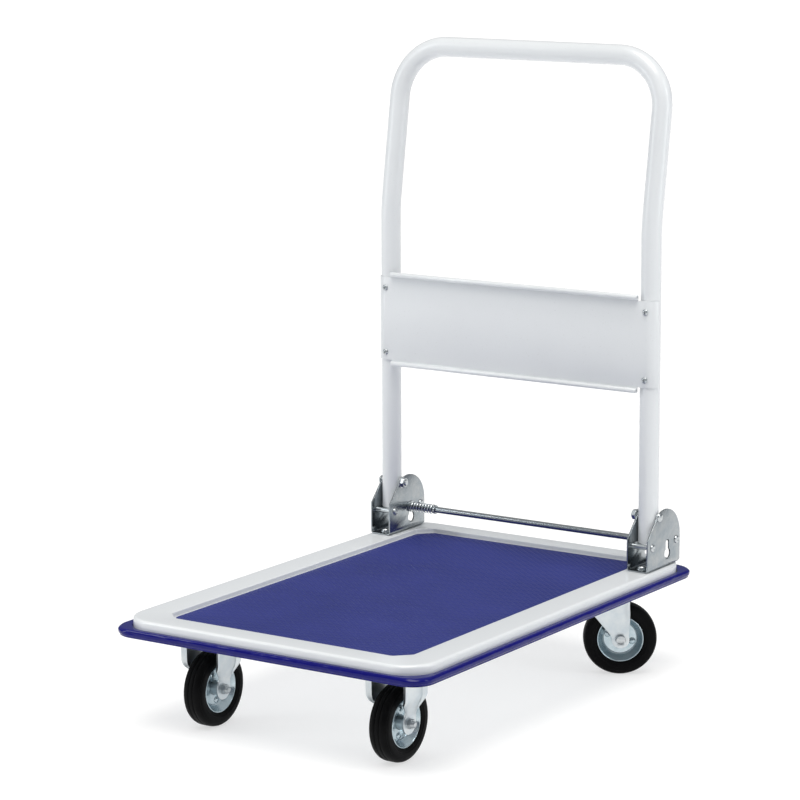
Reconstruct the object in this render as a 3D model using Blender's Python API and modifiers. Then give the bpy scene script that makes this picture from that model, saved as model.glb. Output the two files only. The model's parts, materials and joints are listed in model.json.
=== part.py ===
"""A folding platform cart: a pressed steel deck on two fixed and two swivel casters,
with a tubular handle that folds flat over the deck. Metres, +Z up, origin on the floor
under the deck's middle. The handle stands at the +Y end."""

import math

import bmesh
import bpy
from mathutils import Matrix, Vector

# Deck
DECK_HALF_WIDTH = 0.228
DECK_HALF_LENGTH = 0.336
DECK_TOP = 0.149
DECK_CORNER = 0.045
SHOULDER = 0.004
SKIRT_BOTTOM = 0.126
SHEET = 0.0015
MAT_HALF_WIDTH = 0.1815
MAT_FRONT = -0.296
MAT_REAR = 0.3005
MAT_CHAMFER = 0.020
MAT_THICKNESS = 0.0015
RECESS_DEPTH = 0.007
RECESS_MARGIN = 0.0025
RECESS_DRAFT = 0.0015
BUMPER_PROUD = 0.009
BUMPER_CORNER = 0.027
BUMPER_TOP = 0.1375
BUMPER_BOTTOM = 0.1265
BUMPER_NOSE = 0.0025
STIFFENER_HALF_LENGTH = 0.178
STIFFENER_HALF_WIDTH = 0.052
STIFFENER_FLANGE = 0.014
STIFFENER_DRAFT = 0.002
CORNER_STEPS = 5

# Handle
TUBE_X = 0.208
TUBE_Y = 0.259
TUBE_R = 0.0137
TUBE_WALL = 0.0015
TUBE_SIDES = 12
PIVOT_Z = 0.2215
TUBE_END_DROP = 0.036
LEAN_Z = 0.615
LEAN_ANGLE = math.radians(9.0)
LEAN_RADIUS = 0.220
HANDLE_TOP_Z = 0.836
HANDLE_CORNER = 0.070
PANEL_BOTTOM = 0.3945
PANEL_TOP = 0.5205
PANEL_SHEET = 0.0012
PANEL_ROLL_R = 0.003
PANEL_ROLL_HALF = 0.197
PANEL_WRAP = math.radians(80.0)
SCREW_Z = (0.4095, 0.5010)
SCREW_R = 0.0022
SCREW_LENGTH = 0.008
SCREW_HEAD = ((0.0022, 0.0022), (0.0038, 0.0012), (0.0042, 0.0))

# Hinge brackets, whose side plates stand either side of each tube
PLATE = 0.002
PLATE_INSIDE = 0.0142
BRACKET_FRONT = -0.030
BRACKET_ARC_Y = 0.018
BRACKET_ARC_Z = -0.033
BRACKET_ARC_R = 0.041
SLANT_FOOT_Z = -0.028
PIN_Y = (-0.0172, 0.049)
PIN_Z = -0.0395
PIN_R = 0.0035
KEYHOLE_Y = 0.0244
KEYHOLE_HEAD_Z = -0.0544
KEYHOLE_HEAD_R = 0.0078
SLOT_R = 0.0047
ROD_Z = -0.0394
ROD_R = 0.0043
PIVOT_BOLT_R = 0.004
PIVOT_HEAD = ((0.0030, 0.0042), (0.0056, 0.0024), (0.0064, 0.0))
SPACER_NECK_R = 0.0027
SPACER_HEAD_R = 0.0055
SPACER_HEAD = 0.0025
BRACKET_BOLT_Y = (-0.016, 0.040)
BRACKET_BOLT_R = 0.004
BRACKET_BOLT_END = 0.119
BRACKET_BOLT_HEAD = ((0.0034, 0.0052), (0.0062, 0.004), (0.0066, 0.0))
BRACKET_BOLT_HOLE_R = 0.0044

# Lock rod and its spring
ROD_LEFT = -0.2105
ROD_RIGHT = 0.2165
ROD_END_CHAMFER = 0.001
COLLAR_X = -0.152
COLLAR_R = 0.0062
COLLAR_LENGTH = 0.003
SPRING_R = 0.0056
SPRING_WIRE = 0.0007
SPRING_TURNS = 7
SPRING_STEPS = 8

# Casters
WHEEL_R = 0.050
CASTER_X = 0.143
FIXED_Y = -0.251
SWIVEL_Y = 0.232
TRAIL = 0.033
SWIVEL_ANGLES = {"left": math.radians(118.0), "right": math.radians(33.7)}
CASTER_TOP = 0.128
CASTER_PLATE = 0.0025
CROWN_Z = 0.112
KING_PIN_R = 0.006
AXLE_R = 0.004
HEX_ACROSS = 0.013
NUT_HEIGHT = 0.0065
HUB_R = 0.009
HUB_HALF = 0.0135
LOBE_R = 0.0135
TYRE_HALF = 0.014
TYRE_BEAD = 0.0094
RIM_LIP_R = 0.0313
RIM_SEAT_R = 0.0247
RIM_LIP_OUT = 0.0098
RIM_SHEET = 0.0013
WHEEL_STEPS = 28
RIM_STEPS = 20
PIN_STEPS = 12

GAP = 0.0003

SIDES = {"left": -1.0, "right": 1.0}


def clear_scene():
    for obj in list(bpy.data.objects):
        bpy.data.objects.remove(obj, do_unlink=True)


def collection(name, hidden=False):
    made = bpy.data.collections.new(name)
    bpy.context.scene.collection.children.link(made)
    made.hide_render = hidden
    return made


clear_scene()
CART = collection("folding_platform_cart")
CUTTERS = collection("cutters", hidden=True)


def material(name, colour, roughness, metallic=0.0):
    made = bpy.data.materials.get(name)
    if made:
        return made
    made = bpy.data.materials.new(name)
    made.use_nodes = True
    shader = made.node_tree.nodes["Principled BSDF"]
    shader.inputs["Base Color"].default_value = (*colour, 1.0)
    shader.inputs["Roughness"].default_value = roughness
    shader.inputs["Metallic"].default_value = metallic
    return made


def white_paint():
    return material("white_powder_coat", (0.80, 0.81, 0.80), 0.35)


def blue_vinyl():
    return material("blue_ribbed_vinyl", (0.045, 0.055, 0.21), 0.45)


def blue_pvc():
    return material("blue_glossy_pvc", (0.012, 0.010, 0.19), 0.18)


def zinc():
    return material("zinc_plated_steel", (0.62, 0.66, 0.70), 0.25, 1.0)


def black_rubber():
    return material("black_rubber", (0.012, 0.012, 0.013), 0.55)


def add_object(name, mesh, finish, cutter=False):
    obj = bpy.data.objects.new(name, mesh)
    (CUTTERS if cutter else CART).objects.link(obj)
    if cutter:
        obj.hide_render = True
        obj.display_type = "WIRE"
    else:
        mesh.materials.clear()
        mesh.materials.append(finish)
    return obj


def finish_mesh(name, bm):
    bmesh.ops.remove_doubles(bm, verts=bm.verts, dist=1e-6)
    bmesh.ops.recalc_face_normals(bm, faces=bm.faces)
    mesh = bpy.data.meshes.new(name)
    bm.to_mesh(mesh)
    bm.free()
    mesh.shade_smooth()
    mesh.set_sharp_from_angle(angle=math.radians(35.0))
    return mesh


def arc(centre_a, centre_b, radius, start, end, steps):
    """Points along an arc in a plane, angles in degrees."""
    turn = [math.radians(start + (end - start) * i / steps) for i in range(steps + 1)]
    return [(centre_a + radius * math.cos(t), centre_b + radius * math.sin(t)) for t in turn]


def rounded_outline(half_x, low_y, high_y, radius, steps=CORNER_STEPS):
    """A rectangle with round corners, counter-clockwise from its right front corner."""
    points = []
    for side, centre_y, start in (
        (1, low_y + radius, -90),
        (1, high_y - radius, 0),
        (-1, high_y - radius, 90),
        (-1, low_y + radius, 180),
    ):
        points += arc(side * (half_x - radius), centre_y, radius, start, start + 90, steps)
    return points


def cut_outline(half_x, low_y, high_y, cut, steps=CORNER_STEPS):
    """A rectangle with its corners cut off, in the same order and with as many points."""
    points = []
    for first, last in (
        ((half_x - cut, low_y), (half_x, low_y + cut)),
        ((half_x, high_y - cut), (half_x - cut, high_y)),
        ((cut - half_x, high_y), (-half_x, high_y - cut)),
        ((-half_x, low_y + cut), (cut - half_x, low_y)),
    ):
        points += [tuple(Vector(first).lerp(last, i / steps)) for i in range(steps + 1)]
    return points


def loft(name, loops, capped=True, ring=False):
    """Joins closed loops of equal length, one after another."""
    bm = bmesh.new()
    rows = [[bm.verts.new(p) for p in loop] for loop in loops]
    pairs = list(zip(rows, rows[1:])) + ([(rows[-1], rows[0])] if ring else [])
    for low, high in pairs:
        for i in range(len(low)):
            j = (i + 1) % len(low)
            bm.faces.new((low[i], low[j], high[j], high[i]))
    if capped and not ring:
        bm.faces.new(rows[0][::-1])
        bm.faces.new(rows[-1])
    return finish_mesh(name, bm)


def level(points, z):
    return [(x, y, z) for x, y in points]


def prism(name, outline, thickness):
    """A flat outline in the local XY plane, thickness tall, from z = 0 up."""
    return loft(name, [level(outline, 0.0), level(outline, thickness)])


def hexagon(across_flats, steps=PIN_STEPS):
    points = []
    for i in range(steps):
        turn = 2 * math.pi * i / steps
        radius = across_flats / 2 / math.cos((turn % (math.pi / 3)) - math.pi / 6)
        points.append((radius * math.cos(turn), radius * math.sin(turn)))
    return points


def circle(radius, steps=PIN_STEPS):
    turns = [2 * math.pi * i / steps for i in range(steps)]
    return [(radius * math.cos(t), radius * math.sin(t)) for t in turns]


def bolt_loops(head, seat, radius, end, steps=PIN_STEPS):
    """Loops down a bolt: its head's (radius, height) steps from the seat, then its shank."""
    loops = [level(circle(r, steps), seat + h) for r, h in head]
    return loops + [level(circle(radius, steps), seat), level(circle(radius, steps), end)]


def along(axis, at):
    """A matrix that lays local +Z along axis, with its origin at the point."""
    return Matrix.Translation(at) @ Vector(axis).to_track_quat("Z", "Y").to_matrix().to_4x4()


def screwed(name, profile, closed, matrix, finish, steps, cutter=False):
    """A turned piece: the profile's points are (radius, height) about local Z."""
    mesh = bpy.data.meshes.new(name)
    count = len(profile)
    edges = [(i, (i + 1) % count) for i in range(count if closed else count - 1)]
    mesh.from_pydata([(r, 0.0, h) for r, h in profile], edges, [])
    obj = add_object(name, mesh, finish, cutter)
    obj.matrix_world = matrix
    screw = obj.modifiers.new("Turn", "SCREW")
    screw.axis = "Z"
    screw.steps = steps
    screw.render_steps = steps
    screw.use_merge_vertices = True
    screw.merge_threshold = 0.00001
    screw.use_smooth_shade = True
    return obj


def cylinder_cutter(name, radius, axis, centre, length, steps=PIN_STEPS):
    bm = bmesh.new()
    bmesh.ops.create_cone(bm, cap_ends=True, segments=steps, radius1=radius, radius2=radius, depth=length)
    obj = add_object(name, finish_mesh(name, bm), None, cutter=True)
    obj.matrix_world = along(axis, centre)
    return obj


def combine(target, other, operation):
    change = target.modifiers.new(operation.title(), "BOOLEAN")
    change.operation = operation
    change.object = other
    change.solver = "EXACT"


# Deck --------------------------------------------------------------------------------


def pan_loops():
    """The pressed sheet's upper face, from the recess floor out and down to the skirt's foot."""
    half_x = MAT_HALF_WIDTH + RECESS_MARGIN
    front, rear = MAT_FRONT - RECESS_MARGIN, MAT_REAR + RECESS_MARGIN
    floor = DECK_TOP - RECESS_DEPTH
    loops = []
    for out, z in ((0.0, floor), (RECESS_DRAFT, DECK_TOP)):
        loops.append(level(cut_outline(half_x + out, front - out, rear + out, MAT_CHAMFER), z))
    for inset, rise in arc(0.0, 0.0, SHOULDER, 90, 0, 2):
        out = inset - SHOULDER
        half_w, half_l = DECK_HALF_WIDTH + out, DECK_HALF_LENGTH + out
        outline = rounded_outline(half_w, -half_l, half_l, DECK_CORNER + out)
        loops.append(level(outline, DECK_TOP - SHOULDER + rise))
    full = rounded_outline(DECK_HALF_WIDTH, -DECK_HALF_LENGTH, DECK_HALF_LENGTH, DECK_CORNER)
    return loops + [level(full, SKIRT_BOTTOM)]


def make_deck_pan():
    bm = bmesh.new()
    rows = [[bm.verts.new(p) for p in loop] for loop in pan_loops()]
    bm.faces.new(rows[0])
    for inner, outer in zip(rows, rows[1:]):
        for i in range(len(inner)):
            j = (i + 1) % len(inner)
            bm.faces.new((inner[i], outer[i], outer[j], inner[j]))
    bmesh.ops.recalc_face_normals(bm, faces=bm.faces)
    mesh = bpy.data.meshes.new("deck_pan")
    bm.to_mesh(mesh)
    bm.free()
    if mesh.polygons[0].normal.z < 0:
        mesh.flip_normals()
    pan = add_object("deck_pan", mesh, white_paint())
    wall = pan.modifiers.new("Sheet", "SOLIDIFY")
    wall.thickness = SHEET
    wall.offset = -1.0
    wall.use_even_offset = True
    return pan


def make_mat():
    cut = MAT_CHAMFER - RECESS_DRAFT
    outline = cut_outline(MAT_HALF_WIDTH, MAT_FRONT, MAT_REAR, cut, 1)
    mesh = prism("anti_slip_mat", outline, MAT_THICKNESS)
    mat = add_object("anti_slip_mat", mesh, blue_vinyl())
    mat.location.z = DECK_TOP - RECESS_DEPTH + GAP


def make_bumper():
    """A soft profile pushed round the skirt, thicker at the corners, with a round nose."""
    flat = BUMPER_PROUD - BUMPER_NOSE
    section = [(GAP, BUMPER_BOTTOM)] + arc(flat, BUMPER_BOTTOM + BUMPER_NOSE, BUMPER_NOSE, -90, 0, 2)
    section += arc(flat, BUMPER_TOP - BUMPER_NOSE, BUMPER_NOSE, 0, 90, 2) + [(GAP, BUMPER_TOP)]
    loops = []
    for out, z in section:
        radius = DECK_CORNER + (BUMPER_CORNER - DECK_CORNER) * (out - GAP) / (BUMPER_PROUD - GAP)
        half_w, half_l = DECK_HALF_WIDTH + out, DECK_HALF_LENGTH + out
        loops.append(level(rounded_outline(half_w, -half_l, half_l, radius), z))
    add_object("edge_bumper", loft("edge_bumper", loops, ring=True), blue_pvc())


def make_stiffener(name, centre_y):
    """A hat-section beam across the underside, which the casters are bolted to."""
    top = DECK_TOP - RECESS_DEPTH - SHEET - GAP
    bottom = CASTER_TOP + GAP
    half = STIFFENER_HALF_WIDTH
    section = [(half + STIFFENER_FLANGE, top), (half, top), (half - STIFFENER_DRAFT, bottom)]
    section = [(-y, z) for y, z in section] + section[::-1]
    bm = bmesh.new()
    ends = (-STIFFENER_HALF_LENGTH, STIFFENER_HALF_LENGTH)
    rows = [[bm.verts.new((x, centre_y + y, z)) for y, z in section] for x in ends]
    for i in range(len(section) - 1):
        bm.faces.new((rows[0][i], rows[0][i + 1], rows[1][i + 1], rows[1][i]))
    mesh = bpy.data.meshes.new(name)
    bm.to_mesh(mesh)
    bm.free()
    if mesh.polygons[2].normal.z < 0:
        mesh.flip_normals()
    beam = add_object(name, mesh, white_paint())
    wall = beam.modifiers.new("Sheet", "SOLIDIFY")
    wall.thickness = PLATE
    wall.offset = 1.0
    wall.use_even_offset = True
    flat = beam.modifiers.new("Trim", "BOOLEAN")
    flat.operation = "INTERSECT"
    bm = bmesh.new()
    bmesh.ops.create_cube(bm, size=1.0)
    bmesh.ops.scale(bm, vec=(0.5, 0.3, top - bottom), verts=bm.verts)
    bmesh.ops.translate(bm, vec=(0.0, centre_y, (top + bottom) / 2), verts=bm.verts)
    flat.object = add_object(name + "_trim", finish_mesh(name + "_trim", bm), None, cutter=True)


# Hinge brackets ----------------------------------------------------------------------


def side_plate_outline():
    """(y, z) about the pivot: upright front edge, slant, round top, upright rear edge."""
    foot = DECK_TOP + GAP - PIVOT_Z
    rear = BRACKET_ARC_Y + BRACKET_ARC_R
    outline = [(BRACKET_FRONT, foot), (BRACKET_FRONT, SLANT_FOOT_Z)]
    outline += arc(BRACKET_ARC_Y, BRACKET_ARC_Z, BRACKET_ARC_R, 118, 0, 9)
    return outline + [(rear, foot + 0.004), (rear - 0.004, foot)]


def keyhole_outline():
    opening = math.degrees(math.asin(SLOT_R / KEYHOLE_HEAD_R))
    head = arc(KEYHOLE_Y, KEYHOLE_HEAD_Z, KEYHOLE_HEAD_R, 90 + opening, 450 - opening, 12)
    return head + arc(KEYHOLE_Y, ROD_Z, SLOT_R, 0, 180, 6)


def upright(outline, x, thickness, name, cutter=False, finish=None):
    """A plate of (y, z) points about a pivot, standing in the YZ plane from x on."""
    loops = [[(x + step, TUBE_Y + y, PIVOT_Z + z) for y, z in outline] for step in (0.0, thickness)]
    return add_object(name, loft(name, loops), finish, cutter)


def plain_box(name, low, high):
    bm = bmesh.new()
    bmesh.ops.create_cube(bm, size=1.0)
    size = [b - a for a, b in zip(low, high)]
    middle = [(a + b) / 2 for a, b in zip(low, high)]
    bmesh.ops.scale(bm, vec=size, verts=bm.verts)
    bmesh.ops.translate(bm, vec=middle, verts=bm.verts)
    return add_object(name, finish_mesh(name, bm), None, cutter=True)


def make_bracket(side, x):
    """A U of zinc-plated sheet: a base on the deck and two side plates."""
    name = side + "_hinge_bracket"
    first = x - PLATE_INSIDE - PLATE
    bracket = upright(side_plate_outline(), first, 2 * (PLATE_INSIDE + PLATE), name, finish=zinc())
    floor = DECK_TOP + GAP + PLATE
    channel = plain_box(
        name + "_channel",
        (x - PLATE_INSIDE, TUBE_Y - 0.1, floor),
        (x + PLATE_INSIDE, TUBE_Y + 0.1, PIVOT_Z + 0.1),
    )
    combine(bracket, channel, "DIFFERENCE")
    keyhole = upright(keyhole_outline(), x - 0.03, 0.06, name + "_keyhole", cutter=True)
    combine(bracket, keyhole, "DIFFERENCE")
    holes = [(0.0, 0.0, PIVOT_BOLT_R + GAP)] + [(y, PIN_Z, SPACER_NECK_R + GAP) for y in PIN_Y]
    for i, (y, z, radius) in enumerate(holes):
        centre = (x, TUBE_Y + y, PIVOT_Z + z)
        combine(bracket, cylinder_cutter(f"{name}_hole_{i}", radius, (1, 0, 0), centre, 0.06), "DIFFERENCE")
    for i, y in enumerate(BRACKET_BOLT_Y):
        centre = (x, TUBE_Y + y, DECK_TOP)
        drill = cylinder_cutter(f"{name}_drill_{i}", BRACKET_BOLT_HOLE_R, (0, 0, 1), centre, 0.02)
        combine(bracket, drill, "DIFFERENCE")
        combine(bpy.data.objects["deck_pan"], drill, "DIFFERENCE")


def make_spacer(name, x, y):
    """A shouldered pin across the bracket, its ends riveted over outside the plates."""
    inside = PLATE_INSIDE - GAP
    outside = PLATE_INSIDE + PLATE + GAP
    head = outside + SPACER_HEAD
    profile = [(0.0, head), (PIN_R, head), (SPACER_HEAD_R, outside), (SPACER_NECK_R, outside)]
    profile += [(SPACER_NECK_R, inside), (PIN_R, inside)]
    profile += [(r, -h) for r, h in profile[::-1]]
    screwed(name, profile, False, along((1, 0, 0), (x, TUBE_Y + y, PIVOT_Z + PIN_Z)), zinc(), PIN_STEPS - 2)


def make_bracket_bolt(name, x, y):
    seat = DECK_TOP + PLATE + 2 * GAP
    loops = bolt_loops(BRACKET_BOLT_HEAD, seat, BRACKET_BOLT_R, BRACKET_BOLT_END)
    bolt = add_object(name, loft(name, loops), zinc())
    bolt.location = (x, TUBE_Y + y, 0.0)


def make_pivot(side, x, outward):
    """A bolt through the bracket and the tube: domed head outside, hexagon nut inside."""
    outside = PLATE_INSIDE + PLATE + GAP
    centre = (x, TUBE_Y, PIVOT_Z)
    frame = along((outward, 0, 0), centre)
    loops = bolt_loops(PIVOT_HEAD, outside, PIVOT_BOLT_R, -outside - NUT_HEIGHT - 0.002)
    bolt = add_object(side + "_pivot_bolt", loft(side + "_pivot_bolt", loops), zinc())
    bolt.matrix_world = frame
    make_nut(side + "_pivot_nut", frame, -outside, PIVOT_BOLT_R + GAP)


def make_nut(name, frame, seat, bore):
    """A hexagon nut on the frame's local Z, its face at the seat, standing down from it."""
    low = seat - NUT_HEIGHT
    loops = [level(hexagon(HEX_ACROSS), low), level(hexagon(HEX_ACROSS), seat)]
    loops += [level(circle(bore), seat), level(circle(bore), low)]
    nut = add_object(name, loft(name, loops, ring=True), zinc())
    nut.matrix_world = frame


# Handle ------------------------------------------------------------------------------


def handle_path():
    """The tube's centre line: left leg, bend back, top bar, bend back, right leg."""
    foot = Vector((-TUBE_X, TUBE_Y, PIVOT_Z - TUBE_END_DROP))
    reach = LEAN_RADIUS * math.tan(LEAN_ANGLE / 2)
    leg = [foot]
    for i in range(3):
        turn = LEAN_ANGLE * i / 2
        back = LEAN_RADIUS * (1 - math.cos(turn))
        leg.append(Vector((-TUBE_X, TUBE_Y + back, LEAN_Z - reach + LEAN_RADIUS * math.sin(turn))))
    lean = Vector((0.0, math.sin(LEAN_ANGLE), math.cos(LEAN_ANGLE)))
    corner = leg[-1] + lean * ((HANDLE_TOP_Z - leg[-1].z) / lean.z)
    centre = corner + HANDLE_CORNER * (Vector((1, 0, 0)) - lean)
    for i in range(6):
        turn = math.radians(90.0 * i / 5)
        leg.append(centre + HANDLE_CORNER * (math.sin(turn) * lean - math.cos(turn) * Vector((1, 0, 0))))
    return leg + [Vector((-p.x, p.y, p.z)) for p in leg[::-1]]


def tube_rings(path, radius):
    rings = []
    for i, point in enumerate(path):
        before = path[max(i - 1, 0)]
        after = path[min(i + 1, len(path) - 1)]
        ahead = (after - before).normalized()
        across = Vector((0, math.cos(LEAN_ANGLE / 2), -math.sin(LEAN_ANGLE / 2)))
        across = (across - ahead * across.dot(ahead)).normalized()
        third = ahead.cross(across)
        turns = [2 * math.pi * k / TUBE_SIDES for k in range(TUBE_SIDES)]
        rings.append([tuple(point + radius * (math.cos(t) * across + math.sin(t) * third)) for t in turns])
    return rings


def make_handle_tube():
    path = handle_path()
    loops = tube_rings(path, TUBE_R) + tube_rings(path, TUBE_R - TUBE_WALL)[::-1]
    tube = add_object("handle_tube", loft("handle_tube", loops, ring=True), white_paint())
    for side, sign in SIDES.items():
        x = sign * TUBE_X
        centre = (x, TUBE_Y, PIVOT_Z)
        drill = cylinder_cutter(side + "_pivot_drill", PIVOT_BOLT_R + GAP, (1, 0, 0), centre, 0.04)
        combine(tube, drill, "DIFFERENCE")
    return tube


def panel_section():
    """(x, y) of the panel's inner face: round the left tube's outside, across, round the right's."""
    radius = TUBE_R + GAP
    last = 270 - math.degrees(PANEL_WRAP)
    left = arc(-TUBE_X, TUBE_Y, radius, last, 270, 4)
    return left + [(-x, y) for x, y in left[::-1]]


def make_panel():
    section = panel_section()
    bm = bmesh.new()
    rows = [[bm.verts.new((x, y, z)) for x, y in section] for z in (PANEL_BOTTOM, PANEL_TOP)]
    for i in range(len(section) - 1):
        bm.faces.new((rows[0][i], rows[0][i + 1], rows[1][i + 1], rows[1][i]))
    mesh = bpy.data.meshes.new("handle_panel")
    bm.to_mesh(mesh)
    bm.free()
    panel = add_object("handle_panel", mesh, white_paint())
    wall = panel.modifiers.new("Sheet", "SOLIDIFY")
    wall.thickness = PANEL_SHEET
    wall.offset = 1.0
    wall.use_even_offset = True
    front = TUBE_Y - TUBE_R - GAP - PANEL_SHEET / 2
    for name, z in (("lower_roll", PANEL_BOTTOM), ("upper_roll", PANEL_TOP)):
        length = 2 * PANEL_ROLL_HALF
        roll = cylinder_cutter("panel_" + name, PANEL_ROLL_R, (1, 0, 0), (0, front, z), length, 10)
        combine(panel, roll, "UNION")
    return panel


def make_panel_screws(tube, panel):
    face = TUBE_Y - TUBE_R - GAP - PANEL_SHEET - GAP
    for side, sign in SIDES.items():
        for place, z in zip(("lower", "upper"), SCREW_Z):
            name = f"{side}_{place}_panel_screw"
            frame = along((0, -1, 0), (sign * TUBE_X, face, z))
            loops = bolt_loops(SCREW_HEAD, 0.0, SCREW_R, -SCREW_LENGTH, 10)
            screw = add_object(name, loft(name, loops), zinc())
            screw.matrix_world = frame
            centre = (sign * TUBE_X, face + SCREW_LENGTH / 2, z)
            drill = cylinder_cutter(name + "_drill", SCREW_R + GAP, (0, 1, 0), centre, 0.012, 10)
            combine(tube, drill, "DIFFERENCE")
            combine(panel, drill, "DIFFERENCE")


# Lock rod ----------------------------------------------------------------------------


def make_lock_rod():
    """A sprung bar behind both tubes, with a collar that the spring pushes on."""
    end = ROD_END_CHAMFER
    collar_end = COLLAR_X + COLLAR_LENGTH
    profile = [(0.0, ROD_RIGHT), (ROD_R - end, ROD_RIGHT), (ROD_R, ROD_RIGHT - end)]
    profile += [(ROD_R, collar_end), (COLLAR_R, collar_end), (COLLAR_R, COLLAR_X), (ROD_R, COLLAR_X)]
    profile += [(ROD_R, ROD_LEFT + end), (ROD_R - end, ROD_LEFT), (0.0, ROD_LEFT)]
    centre = (0.0, TUBE_Y + KEYHOLE_Y, PIVOT_Z + ROD_Z)
    screwed("lock_rod", profile, False, along((1, 0, 0), centre), zinc(), PIN_STEPS)


def make_lock_spring():
    first = -TUBE_X + PLATE_INSIDE + PLATE + SPRING_WIRE + GAP
    last = COLLAR_X - SPRING_WIRE - GAP
    curve = bpy.data.curves.new("lock_spring", "CURVE")
    curve.dimensions = "3D"
    curve.bevel_depth = SPRING_WIRE
    curve.bevel_resolution = 0
    curve.use_fill_caps = True
    spline = curve.splines.new("POLY")
    count = SPRING_TURNS * SPRING_STEPS + 1
    spline.points.add(count - 1)
    for i, point in enumerate(spline.points):
        turn = 2 * math.pi * i / SPRING_STEPS
        x = first + (last - first) * i / (count - 1)
        y = TUBE_Y + KEYHOLE_Y + SPRING_R * math.cos(turn)
        z = PIVOT_Z + ROD_Z + SPRING_R * math.sin(turn)
        point.co = (x, y, z, 1.0)
    obj = bpy.data.objects.new("lock_spring", curve)
    CART.objects.link(obj)
    curve.materials.append(zinc())


# Casters -----------------------------------------------------------------------------


def strip_sheet(name, rows, matrix, thickness):
    """A folded sheet: each row is (side, height, from, to), two points along the wheel's run."""
    bm = bmesh.new()
    lines = []
    for side, height, low, high in rows:
        lines.append([bm.verts.new((low + (high - low) * k / 2, side, height)) for k in range(3)])
    for first, second in zip(lines, lines[1:]):
        for k in range(2):
            bm.faces.new((first[k], first[k + 1], second[k + 1], second[k]))
    mesh = bpy.data.meshes.new(name)
    bm.to_mesh(mesh)
    bm.free()
    middle = mesh.polygons[len(mesh.polygons) // 2]
    if middle.normal.z < 0:
        mesh.flip_normals()
    fork = add_object(name, mesh, zinc())
    fork.matrix_world = matrix
    wall = fork.modifiers.new("Sheet", "SOLIDIFY")
    wall.thickness = thickness
    wall.offset = 1.0
    wall.use_quality_normals = True
    return fork


def leg_foot():
    """Rows of the round lobe that holds the axle, as (height, half width)."""
    turns = [math.radians(a) for a in (18, 45, 72, 90)]
    return [(-LOBE_R * math.cos(t), LOBE_R * math.sin(t)) for t in turns]


def fork_rows(inner, upper):
    """Both legs and the crown between them; upper lists (side, height, from, to) rows."""
    leg = [(inner, height, -half, half) for height, half in leg_foot()] + upper
    return leg + [(-side, height, low, high) for side, height, low, high in leg[::-1]]


def make_fixed_fork(name, matrix):
    inner = HUB_HALF + GAP
    top = CASTER_TOP - WHEEL_R - CASTER_PLATE
    upper = [
        (inner, 0.014, -LOBE_R, LOBE_R),
        (0.019, 0.036, -0.017, 0.021),
        (0.0285, top - 0.006, -0.024, 0.032),
        (0.0265, top, -0.040, 0.044),
        (0.010, top, -0.046, 0.046),
    ]
    return strip_sheet(name, fork_rows(inner, upper), matrix, CASTER_PLATE)


def make_swivel_fork(name, matrix):
    inner = HUB_HALF + GAP
    crown = CROWN_Z - WHEEL_R
    upper = [
        (inner, 0.010, -0.015, LOBE_R),
        (inner + 0.001, 0.033, -0.037, LOBE_R),
        (0.020, crown - 0.006, -0.055, 0.012),
        (0.019, crown, -0.059, 0.006),
        (0.008, crown, -0.062, 0.004),
    ]
    return strip_sheet(name, fork_rows(inner, upper), matrix, CASTER_PLATE)


def make_swivel_plate(side, x):
    """A square top plate with the upper ball race pressed down from it."""
    name = side + "_swivel_plate"
    plate = rounded_outline(0.038, -0.048, 0.048, 0.008, 3)
    top = CASTER_TOP
    obj = add_object(name, prism(name, plate, CASTER_PLATE), zinc())
    obj.location = (x, SWIVEL_Y, top - CASTER_PLATE)
    race_bottom = CROWN_Z + CASTER_PLATE + GAP
    height = top - CASTER_PLATE / 2 - race_bottom
    ring = [(0.023, height), (0.0245, 0.003), (0.0225, 0.0), (0.012, 0.0), (0.012, height)]
    frame = Matrix.Translation((x, SWIVEL_Y, race_bottom))
    race = screwed(name + "_race", ring, True, frame, None, RIM_STEPS, cutter=True)
    combine(obj, race, "UNION")


def make_king_pin(side, x):
    shank_top = CASTER_TOP - CASTER_PLATE - GAP
    under = CROWN_Z - GAP
    profile = [(0.0, shank_top), (KING_PIN_R, shank_top), (KING_PIN_R, under)]
    profile += [(0.010, under), (0.010, under - 0.002)]
    profile += [(0.007, under - 0.0045), (0.0, under - 0.0045)]
    screwed(side + "_king_pin", profile, False, Matrix.Translation((x, SWIVEL_Y, 0.0)), zinc(), PIN_STEPS)


def tyre_profile():
    """(radius, height) round the solid tyre's section, down its tread first."""
    seat = RIM_SEAT_R + GAP
    bead = RIM_LIP_R + GAP
    half = TYRE_HALF
    right = [
        (WHEEL_R, 0.0075),
        (0.0475, 0.0122),
        (0.0430, half),
        (0.0350, half),
        (bead, TYRE_BEAD),
        (seat, TYRE_BEAD),
    ]
    return right[::-1] + [(r, -h) for r, h in right]


def rim_profile():
    """One pressed half: disc by the middle plane, seat wall, lip over the tyre's flank."""
    inner, outer = GAP / 2, RIM_LIP_OUT
    wall = RIM_SHEET
    hub = HUB_R + GAP
    seat = RIM_SEAT_R
    return [
        (RIM_LIP_R, outer + wall),
        (RIM_LIP_R, outer),
        (seat, outer),
        (seat, inner),
        (hub, inner),
        (hub, inner + wall),
        (seat - wall, inner + wall),
        (seat - wall + 0.0008, outer + wall),
    ]


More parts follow.
